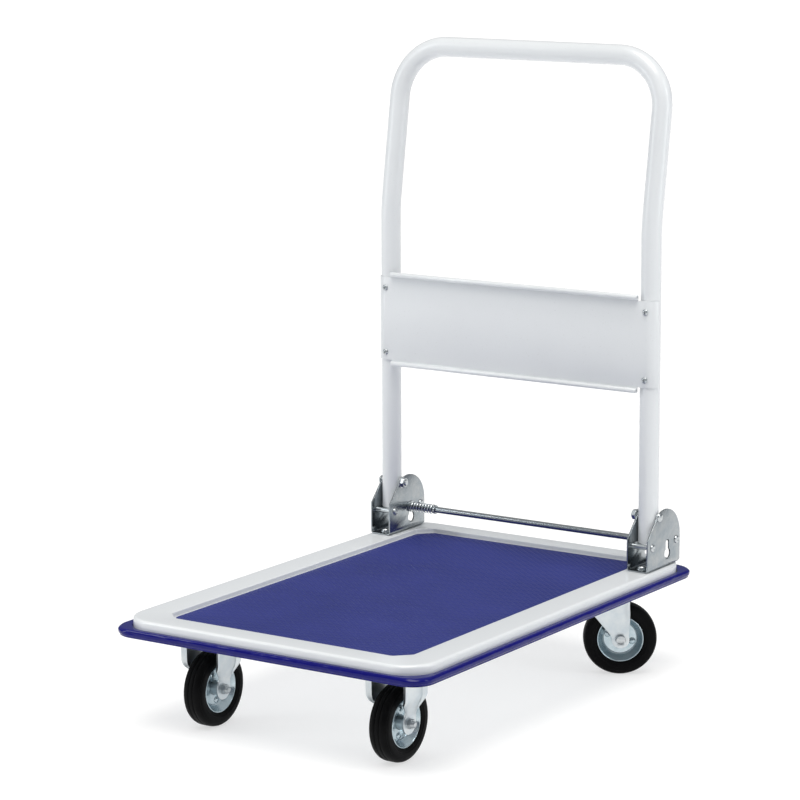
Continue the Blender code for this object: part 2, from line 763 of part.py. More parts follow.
def make_wheel(name, matrix):
    """Tyre, two rim halves and a hub about the axle, which is local Z here."""
    turn = matrix @ Matrix.Rotation(math.radians(-90), 4, "X")
    screwed(name + "_tyre", tyre_profile(), True, turn, black_rubber(), WHEEL_STEPS)
    flip = Matrix.Rotation(math.pi, 4, "X")
    screwed(name + "_rim_outer", rim_profile(), True, turn, zinc(), RIM_STEPS)
    screwed(name + "_rim_inner", rim_profile(), True, turn @ flip, zinc(), RIM_STEPS)
    bore = AXLE_R + GAP
    half = HUB_HALF - GAP
    hub = [(HUB_R, half), (HUB_R, -half), (bore, -half), (bore, half)]
    screwed(name + "_hub", hub, True, turn, zinc(), PIN_STEPS)


def make_axle(name, matrix, head_side):
    """A hexagon bolt through both legs and the hub, with its nut on the far side."""
    out = HUB_HALF + CASTER_PLATE + 3 * GAP
    frame = matrix @ along((0, head_side, 0), (0, 0, 0))
    head = ((HEX_ACROSS - 0.0015, 0.0055), (HEX_ACROSS, 0.0045), (HEX_ACROSS, 0.0))
    loops = [level(hexagon(across), out + height) for across, height in head]
    loops += [level(circle(AXLE_R), out), level(circle(AXLE_R), -out - NUT_HEIGHT - 0.003)]
    bolt = add_object(name + "_axle_bolt", loft(name + "_axle_bolt", loops), zinc())
    bolt.matrix_world = frame
    make_nut(name + "_axle_nut", frame, -out, AXLE_R + GAP)


def drill_fork(fork, name, matrix):
    drill = cylinder_cutter(name + "_axle_drill", AXLE_R + GAP, (0, 1, 0), (0, 0, 0), 0.06)
    drill.matrix_world = matrix @ along((0, 1, 0), (0, 0, 0))
    combine(fork, drill, "DIFFERENCE")


def run_matrix(x, y, angle):
    """A frame at an axle: local +X along the wheel's run, local +Y along the axle."""
    return Matrix.Translation((x, y, WHEEL_R)) @ Matrix.Rotation(angle, 4, "Z")


def make_fixed_caster(side, x):
    name = "front_" + side
    matrix = run_matrix(x, FIXED_Y, math.radians(90))
    drill_fork(make_fixed_fork(name + "_fixed_fork", matrix), name, matrix)
    make_wheel(name, matrix)
    make_axle(name, matrix, 1.0)


def make_swivel_caster(side, x):
    name = "rear_" + side
    angle = SWIVEL_ANGLES[side]
    matrix = run_matrix(x + TRAIL * math.cos(angle), SWIVEL_Y + TRAIL * math.sin(angle), angle)
    fork = make_swivel_fork(name + "_swivel_fork", matrix)
    drill_fork(fork, name, matrix)
    centre = (x, SWIVEL_Y, CROWN_Z)
    drill = cylinder_cutter(name + "_king_drill", KING_PIN_R + GAP, (0, 0, 1), centre, 0.02)
    combine(fork, drill, "DIFFERENCE")
    make_swivel_plate(name, x)
    make_king_pin(name, x)
    make_wheel(name, matrix)
    make_axle(name, matrix, -1.0)


def main():
    make_deck_pan()
    make_mat()
    make_bumper()
    make_stiffener("front_stiffener", FIXED_Y)
    make_stiffener("rear_stiffener", SWIVEL_Y)
    tube = make_handle_tube()
    panel = make_panel()
    make_panel_screws(tube, panel)
    for side, sign in SIDES.items():
        x = sign * TUBE_X
        make_bracket(side, x)
        for place, y in zip(("front", "rear"), PIN_Y):
            make_spacer(f"{side}_{place}_spacer", x, y)
        for place, y in zip(("front", "rear"), BRACKET_BOLT_Y):
            make_bracket_bolt(f"{side}_{place}_bracket_bolt", x, y)
        make_pivot(side, x, sign)
        make_fixed_caster(side, sign * CASTER_X)
        make_swivel_caster(side, sign * CASTER_X)
    make_lock_rod()
    make_lock_spring()


main()
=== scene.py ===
"""The looks of a folding platform cart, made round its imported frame, in metres, +Z up.
The file follows the cart as it is put together: deck, bumper, mat, stiffeners, handle,
panel, hinge brackets, lock, casters."""

import json
import math

import bmesh
import bpy
from mathutils import Matrix, Vector


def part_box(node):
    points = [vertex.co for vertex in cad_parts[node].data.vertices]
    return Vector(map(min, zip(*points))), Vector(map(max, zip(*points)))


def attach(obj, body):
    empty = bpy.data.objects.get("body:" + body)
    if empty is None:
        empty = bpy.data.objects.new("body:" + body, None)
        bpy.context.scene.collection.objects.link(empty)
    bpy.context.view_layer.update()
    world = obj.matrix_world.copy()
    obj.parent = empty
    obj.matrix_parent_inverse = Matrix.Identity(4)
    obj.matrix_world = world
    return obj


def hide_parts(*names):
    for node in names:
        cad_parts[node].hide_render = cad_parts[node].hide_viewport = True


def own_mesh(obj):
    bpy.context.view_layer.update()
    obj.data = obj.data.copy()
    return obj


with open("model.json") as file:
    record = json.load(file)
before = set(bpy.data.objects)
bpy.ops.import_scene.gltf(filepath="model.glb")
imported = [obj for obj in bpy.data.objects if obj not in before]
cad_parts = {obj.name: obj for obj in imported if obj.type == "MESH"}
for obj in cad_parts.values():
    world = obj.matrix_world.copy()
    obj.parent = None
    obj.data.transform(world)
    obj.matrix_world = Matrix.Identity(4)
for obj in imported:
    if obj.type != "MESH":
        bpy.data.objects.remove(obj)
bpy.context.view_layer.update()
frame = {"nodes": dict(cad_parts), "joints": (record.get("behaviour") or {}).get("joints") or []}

# Camera: in front of the cart and to its right, a little above the deck, far off with a
# long lens. It stands level but for a hair of roll.
camera_place = Vector((2.215, -3.349, 1.154))
camera_turn, camera_dip, camera_roll = math.radians(33.73), math.radians(10.63), math.radians(-0.19)
level_back = Vector((math.sin(camera_turn), -math.cos(camera_turn), 0.0))
camera_back = level_back * math.cos(camera_dip) + Vector((0.0, 0.0, math.sin(camera_dip)))
camera_right = Vector((math.cos(camera_turn), math.sin(camera_turn), 0.0))
camera_right = Matrix.Rotation(camera_roll, 3, camera_back) @ camera_right
camera_up = camera_back.cross(camera_right)
camera = bpy.data.objects.new("camera", bpy.data.cameras.new("camera"))
camera.data.lens = 140.8
camera.data.clip_end = 200.0
camera.matrix_world = Matrix.Translation(camera_place) @ (
    Matrix((camera_right, camera_up, camera_back)).transposed().to_4x4()
)
bpy.context.scene.collection.objects.link(camera)
bpy.context.scene.camera = camera


# Studio: a wide pale floor under a bright ceiling that fades to grey at the horizon, a
# broad soft key light, and two long strip lights that put streaks on the glossy pieces.
class Wire:
    """A socket of a node tree that can be written into sums: each adds its Math node."""

    def __init__(self, tree, socket=None):
        self.tree = tree
        self.socket = socket

    def node(self, kind, settings=None, sockets=None, output=0):
        """Adds a node: its settings first, then its sockets, by name or number."""
        made = self.tree.nodes.new(kind)
        for name, setting in (settings or {}).items():
            if name == "stops":
                for stop, (place, shade) in zip_stops(made.color_ramp, setting):
                    stop.position = place
                    stop.color = shade
            else:
                setattr(made, name, setting)
        for key, given in (sockets or {}).items():
            if isinstance(given, Wire):
                self.tree.links.new(given.socket, made.inputs[key])
            else:
                made.inputs[key].default_value = given
        return Wire(self.tree, made.outputs[output])

    def maths(self, operation, *values):
        return self.node("ShaderNodeMath", {"operation": operation}, dict(enumerate(values)))

    def __add__(self, other):
        return self.maths("ADD", self, other)

    def __sub__(self, other):
        return self.maths("SUBTRACT", self, other)

    def __rsub__(self, other):
        return self.maths("SUBTRACT", other, self)

    def __mul__(self, other):
        return self.maths("MULTIPLY", self, other)

    __radd__ = __add__
    __rmul__ = __mul__


def zip_stops(ramp, stops):
    """A colour ramp's elements, as many as there are stops, beside the stops."""
    while len(ramp.elements) < len(stops):
        ramp.elements.new(1.0)
    return list(zip(ramp.elements, stops))


def grey(level):
    return (level, level, level, 1.0)


world = bpy.data.worlds.new("studio")
world.use_nodes = True
bpy.context.scene.world = world
ceiling = Wire(world.node_tree)
sky_direction = ceiling.node("ShaderNodeTexCoord", output="Generated")
sky_height = ceiling.node("ShaderNodeSeparateXYZ", sockets={0: sky_direction}, output="Z")
sky_stops = [(0.0, (0.20, 0.23, 0.28, 1.0)), (0.25, (0.42, 0.46, 0.52, 1.0))]
sky_stops += [(0.6, grey(0.95)), (1.0, grey(1.15))]
sky = ceiling.node("ShaderNodeValToRGB", {"stops": sky_stops}, {0: sky_height})
background = world.node_tree.nodes["Background"]
world.node_tree.links.new(sky.socket, background.inputs["Color"])
background.inputs["Strength"].default_value = 0.50


def aim(obj, place, target):
    """Puts a lamp at a place, shining at the target."""
    look = Vector(target) - Vector(place)
    obj.matrix_world = Matrix.Translation(place) @ look.to_track_quat("-Z", "Y").to_matrix().to_4x4()
    bpy.context.scene.collection.objects.link(obj)


key_light = bpy.data.objects.new("key_light", bpy.data.lights.new("key_light", "SUN"))
key_light.data.energy = 2.15
key_light.data.angle = math.radians(40.0)
key_light.data.color = (1.0, 0.975, 0.93)
aim(key_light, (0.7, -1.3, 5.0), (0.0, 0.0, 0.2))
for strip_name, strip_place, strip_power in (
    ("left_strip_light", (-2.2, -1.8, 1.3), 20.0),
    ("right_strip_light", (2.8, 0.6, 1.6), 20.0),
):
    strip_light = bpy.data.objects.new(strip_name, bpy.data.lights.new(strip_name, "AREA"))
    strip_light.data.shape = "RECTANGLE"
    strip_light.data.size = 0.5
    strip_light.data.size_y = 2.4
    strip_light.data.energy = strip_power
    strip_light.data.color = (0.95, 0.98, 1.0)
    aim(strip_light, strip_place, (0.0, 0.0, 0.3))

floor_half = 60.0
floor_mesh = bpy.data.meshes.new("floor")
floor_corners = [(x * floor_half, y * floor_half, 0.0) for x, y in ((-1, -1), (1, -1), (1, 1), (-1, 1))]
floor_mesh.from_pydata(floor_corners, [], [(0, 1, 2, 3)])
floor = bpy.data.objects.new("floor", floor_mesh)
bpy.context.scene.collection.objects.link(floor)
floor_paint = bpy.data.materials.new("floor_paint")
floor_paint.use_nodes = True
floor_shader = floor_paint.node_tree.nodes["Principled BSDF"]
floor_shader.inputs["Base Color"].default_value = grey(0.46)
floor_shader.inputs["Emission Color"].default_value = grey(1.0)
floor_shader.inputs["Emission Strength"].default_value = 0.60
floor_shader.inputs["Roughness"].default_value = 0.85
floor_shader.inputs["Specular IOR Level"].default_value = 0.1
floor_mesh.materials.append(floor_paint)
bpy.context.scene.view_settings.view_transform = "Standard"

# Deck: one pressed steel sheet with a raised border, a sunk middle for the mat and a skirt
# turned down and hemmed under. It is powder coated white after pressing.
deck_low, deck_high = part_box("deck_pan")
mat_low, mat_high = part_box("anti_slip_mat")
touching_gap = 0.0003
sheet_gauge = 0.0015
deck_corner = 0.045
shoulder_bend = 0.004
hem_radius = 0.0018
recess_floor = mat_low.z - touching_gap
recess_margin = 0.0022
corner_cut = 0.018
corner_points = 16


def new_finish(name, **constants):
    """A material whose Principled shader has these constants; returns it with its wire."""
    made = bpy.data.materials.new(name)
    made.use_nodes = True
    shader = made.node_tree.nodes["Principled BSDF"]
    for socket, value in constants.items():
        shader.inputs[socket.replace("_", " ")].default_value = value
    return made, Wire(made.node_tree)


def surface(made, **links):
    """Feeds the Principled shader's sockets of a material."""
    shader = made.node_tree.nodes["Principled BSDF"]
    for socket, wire in links.items():
        made.node_tree.links.new(wire.socket, shader.inputs[socket.replace("_", " ")])


def object_place(wire, stretch=(1.0, 1.0, 1.0), turn=(0.0, 0.0, 0.0)):
    """Object coordinates, stretched and turned."""
    spot = wire.node("ShaderNodeTexCoord", output="Object")
    return wire.node("ShaderNodeMapping", sockets={"Vector": spot, "Scale": stretch, "Rotation": turn})


def cloud(wire, place, scale, detail=3.0, roughness=0.55):
    """Smooth random patches between 0 and 1."""
    return wire.node(
        "ShaderNodeTexNoise",
        sockets={"Vector": place, "Scale": scale, "Detail": detail, "Roughness": roughness},
    )


def spread(wire, value, low, high, out_low, out_high):
    """Carries a value from one range to another, held at its ends."""
    return wire.node("ShaderNodeMapRange", sockets={0: value, 1: low, 2: high, 3: out_low, 4: out_high})


def blended(wire, share, first, second, blend="MIX"):
    """A colour between two others."""
    return wire.node(
        "ShaderNodeMix", {"data_type": "RGBA", "blend_type": blend}, {0: share, 6: first, 7: second}, output=2
    )


def bumped(wire, height, distance, strength=1.0, under=None):
    sockets = {"Height": height, "Distance": distance, "Strength": strength}
    if under:
        sockets["Normal"] = under
    return wire.node("ShaderNodeBump", sockets=sockets)


def powder_coat(name, colour, shade):
    """White powder coat: a faint orange peel, soft gloss, and a little handling grime."""
    made, wire = new_finish(name, Coat_Weight=0.35, Coat_Roughness=0.12)
    place = object_place(wire)
    patches = cloud(wire, place, 9.0, 5.0)
    specks = spread(wire, cloud(wire, place, 420.0, 2.0), 0.66, 0.78, 0.0, 0.35)
    tone = blended(wire, spread(wire, patches, 0.35, 0.75, 0.0, 1.0), colour, shade)
    tone = blended(wire, specks, tone, (0.52, 0.53, 0.53, 1.0))
    peel = cloud(wire, place, 650.0, 1.0)
    surface(
        made,
        Base_Color=tone,
        Roughness=spread(wire, patches, 0.3, 0.7, 0.28, 0.34),
        Normal=bumped(wire, peel, 0.00010, 0.30, bumped(wire, patches, 0.0006, 0.10)),
    )
    return made


white_coat = powder_coat("white_powder_coat", (0.722, 0.745, 0.765, 1.0), (0.700, 0.722, 0.742, 1.0))


def new_piece(name, mesh, finish, body, slot, *nodes):
    """A finished piece: on its body, in place of its CAD nodes. Its slot is not used."""
    piece = bpy.data.objects.new(name, mesh)
    bpy.context.scene.collection.objects.link(piece)
    if finish and not mesh.materials:
        mesh.materials.append(finish)
    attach(piece, body)
    if nodes:
        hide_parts(*nodes)
    return piece


def smoothed(mesh, sharp):
    """Shades a mesh smooth but for its sharp edges."""
    mesh.shade_smooth()
    mesh.set_sharp_from_angle(angle=math.radians(sharp))
    return mesh


def shaded(name, bm, sharp=32.0, matrix=None):
    """Turns a bmesh into a mesh with faces outwards, smooth but for its sharp edges."""
    bmesh.ops.remove_doubles(bm, verts=bm.verts, dist=1e-6)
    bmesh.ops.recalc_face_normals(bm, faces=bm.faces)
    if matrix:
        bmesh.ops.transform(bm, matrix=matrix, verts=bm.verts)
    mesh = bpy.data.meshes.new(name)
    bm.to_mesh(mesh)
    bm.free()
    return smoothed(mesh, sharp)


def skin(bm, loops, ring=False, capped=False, closed=True):
    """Joins loops of equal length with faces, one after another."""
    rows = [[bm.verts.new(p) for p in loop] for loop in loops]
    pairs = list(zip(rows, rows[1:])) + ([(rows[-1], rows[0])] if ring else [])
    for low, high in pairs:
        for i in range(len(low) if closed else len(low) - 1):
            j = (i + 1) % len(low)
            bm.faces.new((low[i], low[j], high[j], high[i]))
    if capped:
        bm.faces.new(rows[0][::-1])
        bm.faces.new(rows[-1])
    return rows


def skinned(loops, **ways):
    """A shape of its own from loops."""
    made = bmesh.new()
    skin(made, loops, **ways)
    return made


def arc(centre, radius, start, end, steps):
    """Points round a centre, from one angle to another, in degrees."""
    turns = [math.radians(start + (end - start) * i / steps) for i in range(steps + 1)]
    return [(centre[0] + radius * math.cos(t), centre[1] + radius * math.sin(t)) for t in turns]


def round_corners(half_x, low_y, high_y, radius):
    """A rectangle's outline with round corners, counter-clockwise."""
    points = []
    low, high = low_y + radius, high_y - radius
    for side, y, start in ((1, low, -90), (1, high, 0), (-1, high, 90), (-1, low, 180)):
        points += arc((side * (half_x - radius), y), radius, start, start + 90, corner_points - 1)
    return points


def cut_corners(half_x, low_y, high_y, cut, soften):
    """A rectangle's outline with its corners cut off, each cut's two ends softened."""
    points = []
    slip = soften * math.tan(math.radians(22.5))
    half = corner_points // 2 - 1
    corners = ((half_x, low_y), (half_x, high_y), (-half_x, high_y), (-half_x, low_y))
    for turn, corner in zip((-90, 0, 90, 180), corners):
        out = Vector((math.cos(math.radians(turn)), math.sin(math.radians(turn))))
        ahead = Vector((-out.y, out.x))
        first = Vector(corner) - ahead * (cut + slip) - out * soften
        last = Vector(corner) - out * (cut + slip) - ahead * soften
        points += arc(first, soften, turn, turn + 45, half)
        points += arc(last, soften, turn + 45, turn + 90, half)
    return points


def at_height(points, z):
    return [(x, y, z) for x, y in points]


def eased(points, radius, closed=False, steps=3):
    """Rounds an outline's corners with short curves that begin this far from each corner."""
    rounded = []
    for i, point in enumerate(points):
        corner = Vector(point)
        if not closed and i in (0, len(points) - 1):
            rounded.append(corner)
            continue
        before = Vector(points[i - 1]) - corner
        after = Vector(points[(i + 1) % len(points)]) - corner
        first = corner + before.normalized() * min(radius, before.length * 0.48)
        last = corner + after.normalized() * min(radius, after.length * 0.48)
        for k in range(steps + 1):
            t = k / steps
            rounded.append(first * (1 - t) ** 2 + corner * 2 * t * (1 - t) + last * t * t)
    return rounded


def stacked(profile, outline):
    """Loops of an outline, one for each (out, height) of a profile."""
    return [at_height(outline(out), z) for out, z in profile]


def recess_outline(out):
    side = mat_high.x + recess_margin
    front, rear = mat_low.y - recess_margin, mat_high.y + recess_margin
    return cut_corners(side + out, front - out, rear + out, corner_cut + 0.586 * out, 0.006 + out)


def skirt_outline(out):
    return round_corners(deck_high.x + out, deck_low.y - out, deck_high.y + out, deck_corner + out)


recess_wall = [(-0.004, recess_floor), (0.0, recess_floor), (0.0012, deck_high.z), (0.006, deck_high.z)]
hem_z = deck_low.z + hem_radius
skirt_drop = [(-shoulder_bend - 0.002, deck_high.z)]
skirt_drop += arc((-shoulder_bend, deck_high.z - shoulder_bend), shoulder_bend, 90, 0, 6)
skirt_drop += [(0.0, hem_z)] + arc((-hem_radius, hem_z), hem_radius, 0, -180, 6)
skirt_drop += [(-2 * hem_radius, deck_low.z + 0.006)]
deck_loops = stacked(eased(recess_wall, 0.0016, steps=5)[:-1], recess_outline)
deck_loops += stacked(skirt_drop, skirt_outline)
deck_shape = bmesh.new()
deck_rows = skin(deck_shape, deck_loops)
deck_shape.faces.new(deck_rows[0])
deck_mesh = shaded("pressed_deck", deck_shape)
deck_piece = new_piece("pressed_deck", deck_mesh, white_coat, "deck", "white_powder_coat", "deck_pan")


def deburr(piece, width, angle):
    """Eases the edges that turn by more than this angle, in degrees."""
    ease = piece.modifiers.new("Deburr", "BEVEL")
    ease.width = width
    ease.segments = 2
    ease.limit_method = "ANGLE"
    ease.angle_limit = math.radians(angle)


def thicken(piece, gauge, bevel, offset=-1.0, quality=False):
    """Gives a sheet its gauge and takes the sharpness off its cut edges."""
    wall = piece.modifiers.new("Gauge", "SOLIDIFY")
    wall.thickness = gauge
    wall.offset = offset
    wall.use_quality_normals = quality
    wall.use_even_offset = not quality
    deburr(piece, bevel, 50.0)


thicken(deck_piece, sheet_gauge, 0.0003)

# Edge bumper: a soft PVC profile pushed round the skirt, fuller at the corners, with a
# flat top, a rounded nose and a thin lip below. Moulded in glossy dark blue.
bumper_low, bumper_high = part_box("edge_bumper")
nose = bumper_high.x - deck_high.x
bumper_corner = 0.027


def glossy_pvc():
    made, wire = new_finish("blue_glossy_pvc", Coat_Weight=0.16, Coat_Roughness=0.03, Specular_IOR_Level=0.16)
    place = object_place(wire)
    waves = cloud(wire, object_place(wire, stretch=(1.0, 1.0, 4.0)), 26.0, 2.0)
    scuffs = spread(wire, cloud(wire, place, 160.0, 4.0), 0.55, 0.8, 0.0, 0.5)
    tone = blended(wire, waves, (0.001, 0.001, 0.105, 1.0), (0.003, 0.003, 0.160, 1.0))
    tone = blended(wire, scuffs, tone, (0.020, 0.022, 0.22, 1.0))
    surface(
        made,
        Base_Color=tone,
        Roughness=spread(wire, scuffs, 0.0, 0.5, 0.12, 0.26),
        Normal=bumped(wire, waves, 0.004, 0.5),
    )
    return made


blue_pvc = glossy_pvc()
bumper_section = [
    (0.0004, bumper_high.z),
    (nose * 0.80, bumper_high.z),
    (nose, bumper_high.z - 0.0030),
    (nose * 0.97, bumper_low.z + 0.0034),
    (nose * 0.86, bumper_low.z + 0.0024),
    (nose * 0.90, bumper_low.z + 0.0004),
    (nose * 0.70, bumper_low.z),
    (0.0004, bumper_low.z),
]


def bumper_outline(out):
    """The bumper's outline this far out from the skirt, its corners fuller further out."""
    radius = deck_corner + (bumper_corner - deck_corner) * out / nose
    return round_corners(deck_high.x + out, deck_low.y - out, deck_high.y + out, radius)


bumper_loops = stacked(eased(bumper_section, 0.0012, closed=True), bumper_outline)
bumper_mesh = shaded("bumper_profile", skinned(bumper_loops, ring=True))
new_piece("bumper_profile", bumper_mesh, blue_pvc, "deck", "blue_glossy_pvc", "edge_bumper")

# Anti-slip mat: blue vinyl with cut corners, glued in the sunk middle. Low diamond studs
# stand close together all over it, so that it reads as crossed grooves.
stud_pitch = Vector((0.0118, 0.0100))
stud_rise = 0.00055
stud_gap = 0.0011


def new_nodes(name, **inputs):
    """A geometry node tree with these named inputs, and wires from them."""
    tree = bpy.data.node_groups.new(name, "GeometryNodeTree")
    tree.interface.new_socket("Geometry", in_out="OUTPUT", socket_type="NodeSocketGeometry")
    tree.interface.new_socket("Geometry", in_out="INPUT", socket_type="NodeSocketGeometry")
    for label, kind in inputs.items():
        tree.interface.new_socket(label, in_out="INPUT", socket_type="NodeSocket" + kind)
    tree.interface.new_socket("Finish", in_out="INPUT", socket_type="NodeSocketMaterial")
    entry = tree.nodes.new("NodeGroupInput")
    return Wire(tree), {socket.name: Wire(tree, socket) for socket in entry.outputs if socket.name}


def end_nodes(wire, given, shape):
    """Ends a tree: real geometry, in its finish."""
    shape = wire.node("GeometryNodeRealizeInstances", sockets={0: shape})
    shape = wire.node("GeometryNodeSetMaterial", sockets={"Geometry": shape, "Material": given["Finish"]})
    leave = wire.tree.nodes.new("NodeGroupOutput")
    wire.tree.links.new(shape.socket, leave.inputs[0])
    return wire.tree


def grown(name, tree, points=(), **values):
    """Runs a geometry node tree on some points and returns the plain mesh that it makes."""
    seed = bpy.data.meshes.new(name + "_seed")
    seed.from_pydata([tuple(p) for p in points], [], [])
    holder = bpy.data.objects.new(name + "_holder", seed)
    bpy.context.scene.collection.objects.link(holder)
    grow = holder.modifiers.new("Grow", "NODES")
    grow.node_group = tree
    for item in tree.interface.items_tree:
        if item.in_out == "INPUT" and item.name in values:
            grow[item.identifier] = values[item.name]
    holder.update_tag()
    bpy.context.view_layer.update()
    mesh = bpy.data.meshes.new_from_object(holder.evaluated_get(bpy.context.evaluated_depsgraph_get()))
    mesh.name = name
    holder.modifiers.remove(grow)
    bpy.data.objects.remove(holder)
    return mesh


def ribbed_vinyl():
    made, wire = new_finish("blue_ribbed_vinyl", Specular_IOR_Level=0.16)
    place = object_place(wire)
    wear = cloud(wire, place, 7.0, 6.0, 0.62)
    grain = cloud(wire, place, 1500.0, 2.0)
    flecks = spread(wire, cloud(wire, place, 300.0, 3.0), 0.68, 0.80, 0.0, 0.4)
    worn = spread(wire, wear, 0.35, 0.7, 0.0, 1.0)
    tone = blended(wire, worn, (0.022, 0.030, 0.160, 1.0), (0.031, 0.040, 0.195, 1.0))
    tone = blended(wire, flecks, tone, (0.07, 0.08, 0.27, 1.0))
    surface(
        made,
        Base_Color=tone,
        Roughness=spread(wire, wear, 0.3, 0.75, 0.40, 0.58),
        Normal=bumped(wire, grain, 0.00012, 0.5),
    )
    return made


blue_vinyl = ribbed_vinyl()
mat_top = mat_high.z - stud_rise


def mat_outline(out):
    return cut_corners(mat_high.x + out, mat_low.y - out, mat_high.y + out, corner_cut, 0.004 + out)


mat_edge = eased([(-0.001, mat_low.z), (0.0, mat_low.z), (0.0, mat_top), (-0.002, mat_top)], 0.0004)
mat_mesh = shaded("vinyl_mat", skinned(stacked(mat_edge, mat_outline), capped=True))
new_piece("vinyl_mat", mat_mesh, blue_vinyl, "deck", "blue_ribbed_vinyl", "anti_slip_mat")


def stud_nodes():
    wire, given = new_nodes("diamond_studs", Half_Long="Float", Half_Wide="Float", Rise="Float")
    base = wire.node(
        "GeometryNodeMeshCone",
        sockets={"Vertices": 4, "Radius Top": 0.62, "Radius Bottom": 1.0, "Depth": given["Rise"]},
    )
    size = wire.node("ShaderNodeCombineXYZ", sockets={0: given["Half_Long"], 1: given["Half_Wide"], 2: 1.0})
    studs = wire.node(
        "GeometryNodeInstanceOnPoints", sockets={"Points": given["Geometry"], "Instance": base, "Scale": size}
    )
    return end_nodes(wire, given, studs)


def inside_mat(x, y, margin):
    """True where a stud stands clear of the mat's edge and cut corners."""
    middle_y = (mat_low.y + mat_high.y) / 2
    over_x = mat_high.x - abs(x) - margin
    over_y = (mat_high.y - mat_low.y) / 2 - abs(y - middle_y) - margin
    return over_x > 0 and over_y > 0 and over_x + over_y > corner_cut


stud_places = []
columns = int(mat_high.x * 2 / stud_pitch.x) + 2
stud_lines = int((mat_high.y - mat_low.y) / stud_pitch.y) + 2
for half in (0.0, 0.5):
    for i in range(columns):
        for j in range(stud_lines):
            x = (i - columns / 2 + half) * stud_pitch.x
            y = mat_low.y + (j + half) * stud_pitch.y
            if inside_mat(x, y, stud_pitch.x / 2):
                stud_places.append((x, y, mat_top - 0.00002))
studs_mesh = grown(
    "mat_studs",
    stud_nodes(),
    stud_places,
    Half_Long=(stud_pitch.x - stud_gap * 1.2) / 2,
    Half_Wide=(stud_pitch.y - stud_gap) / 2,
    Rise=stud_rise + 0.00002,
    Finish=blue_vinyl,
)
new_piece("mat_studs", studs_mesh, None, "deck", "blue_ribbed_vinyl")

# Stiffeners: two hat-section beams spot-welded across the underside of the pan, painted
# with it. The casters are bolted to them. Each spot weld leaves a shallow round dimple ring.
for beam in ("front_stiffener", "rear_stiffener"):
    frame["nodes"][beam].data.materials.clear()
    frame["nodes"][beam].data.materials.append(white_coat)
weld_spacing = 0.044
weld_inset = 0.007


def circle_line(wire, radius, points):
    return wire.node(
        "GeometryNodeCurvePrimitiveCircle", {"mode": "RADIUS"}, {"Resolution": points, "Radius": radius}
    )


def weld_nodes():
    wire, given = new_nodes("spot_welds", Radius="Float", Height="Float")
    ring = circle_line(wire, given["Radius"], 12)
    bead = circle_line(wire, given["Height"], 5)
    raised = wire.node("GeometryNodeCurveToMesh", sockets={"Curve": ring, "Profile Curve": bead})
    welds = wire.node(
        "GeometryNodeInstanceOnPoints", sockets={"Points": given["Geometry"], "Instance": raised}
    )
    return end_nodes(wire, given, welds)


weld_places = []
for beam in ("front_stiffener", "rear_stiffener"):
    beam_low, beam_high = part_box(beam)
    weld_count = int((beam_high.x - beam_low.x) / weld_spacing)
    for i in range(weld_count):
        for y in (beam_low.y + weld_inset, beam_high.y - weld_inset):
            x = (i - (weld_count - 1) / 2) * weld_spacing
            weld_places.append((x, y, beam_high.z - 0.0021))
welds_mesh = grown("spot_welds", weld_nodes(), weld_places, Radius=0.0028, Height=0.0004, Finish=white_coat)
welds_mesh.shade_smooth()
new_piece("spot_welds", welds_mesh, None, "deck", "white_powder_coat")

# Handle: one length of steel tube, bent into two legs that lean back near the top and a
# straight push bar with two round corners. Its lower ends are cut square and left open.
def joint_named(name):
    return next(j for j in frame["joints"] if j["name"] == name)


tube_low, tube_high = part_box("handle_tube")
pivot = Vector(joint_named("handle_fold")["pos_m"])
tube_radius = 0.0137
tube_wall = 0.0015
leg_x = tube_high.x - tube_radius
lean_angle = math.radians(9.0)
lean_start = 0.615
lean_radius = 0.220
push_bar_z = 0.836
handle_corner = 0.070
tube_sides = 40


def handle_line():
    """The tube's centre line, from the left leg's foot over the bar to the right one's."""
    reach = lean_radius * math.tan(lean_angle / 2)
    leg = [Vector((-leg_x, pivot.y, tube_low.z))]
    for i in range(9):
        turn = lean_angle * i / 8
        back = lean_radius * (1 - math.cos(turn))
        leg.append(Vector((-leg_x, pivot.y + back, lean_start - reach + lean_radius * math.sin(turn))))
    lean = Vector((0.0, math.sin(lean_angle), math.cos(lean_angle)))
    corner = leg[-1] + lean * ((push_bar_z - leg[-1].z) / lean.z)
    across = Vector((1.0, 0.0, 0.0))
    centre = corner + handle_corner * (across - lean)
    for i in range(17):
        turn = math.radians(90.0 * i / 16)
        leg.append(centre + handle_corner * (math.sin(turn) * lean - math.cos(turn) * across))
    return leg + [Vector((-p.x, p.y, p.z)) for p in leg[::-1]]


def tube_loops(line, radius, sides, flat_normal):
    """Rings round a line whose bends all lie near one plane with this normal."""
    loops = []
    for i, point in enumerate(line):
        ahead = (line[min(i + 1, len(line) - 1)] - line[max(i - 1, 0)]).normalized()
        out = (flat_normal - ahead * flat_normal.dot(ahead)).normalized()
        third = ahead.cross(out)
        turns = [2 * math.pi * k / sides for k in range(sides)]
        loops.append([point + radius * (math.cos(t) * out + math.sin(t) * third) for t in turns])
    return loops


handle_normal = Vector((0.0, math.cos(lean_angle / 2), -math.sin(lean_angle / 2)))
line = handle_line()
outer_loops = tube_loops(line, tube_radius, tube_sides, handle_normal)
inner_loops = tube_loops(line, tube_radius - tube_wall, tube_sides, handle_normal)
tube_mesh = shaded("push_handle", skinned(outer_loops + inner_loops[::-1], ring=True))
new_piece("push_handle", tube_mesh, white_coat, "handle", "white_powder_coat", "handle_tube")

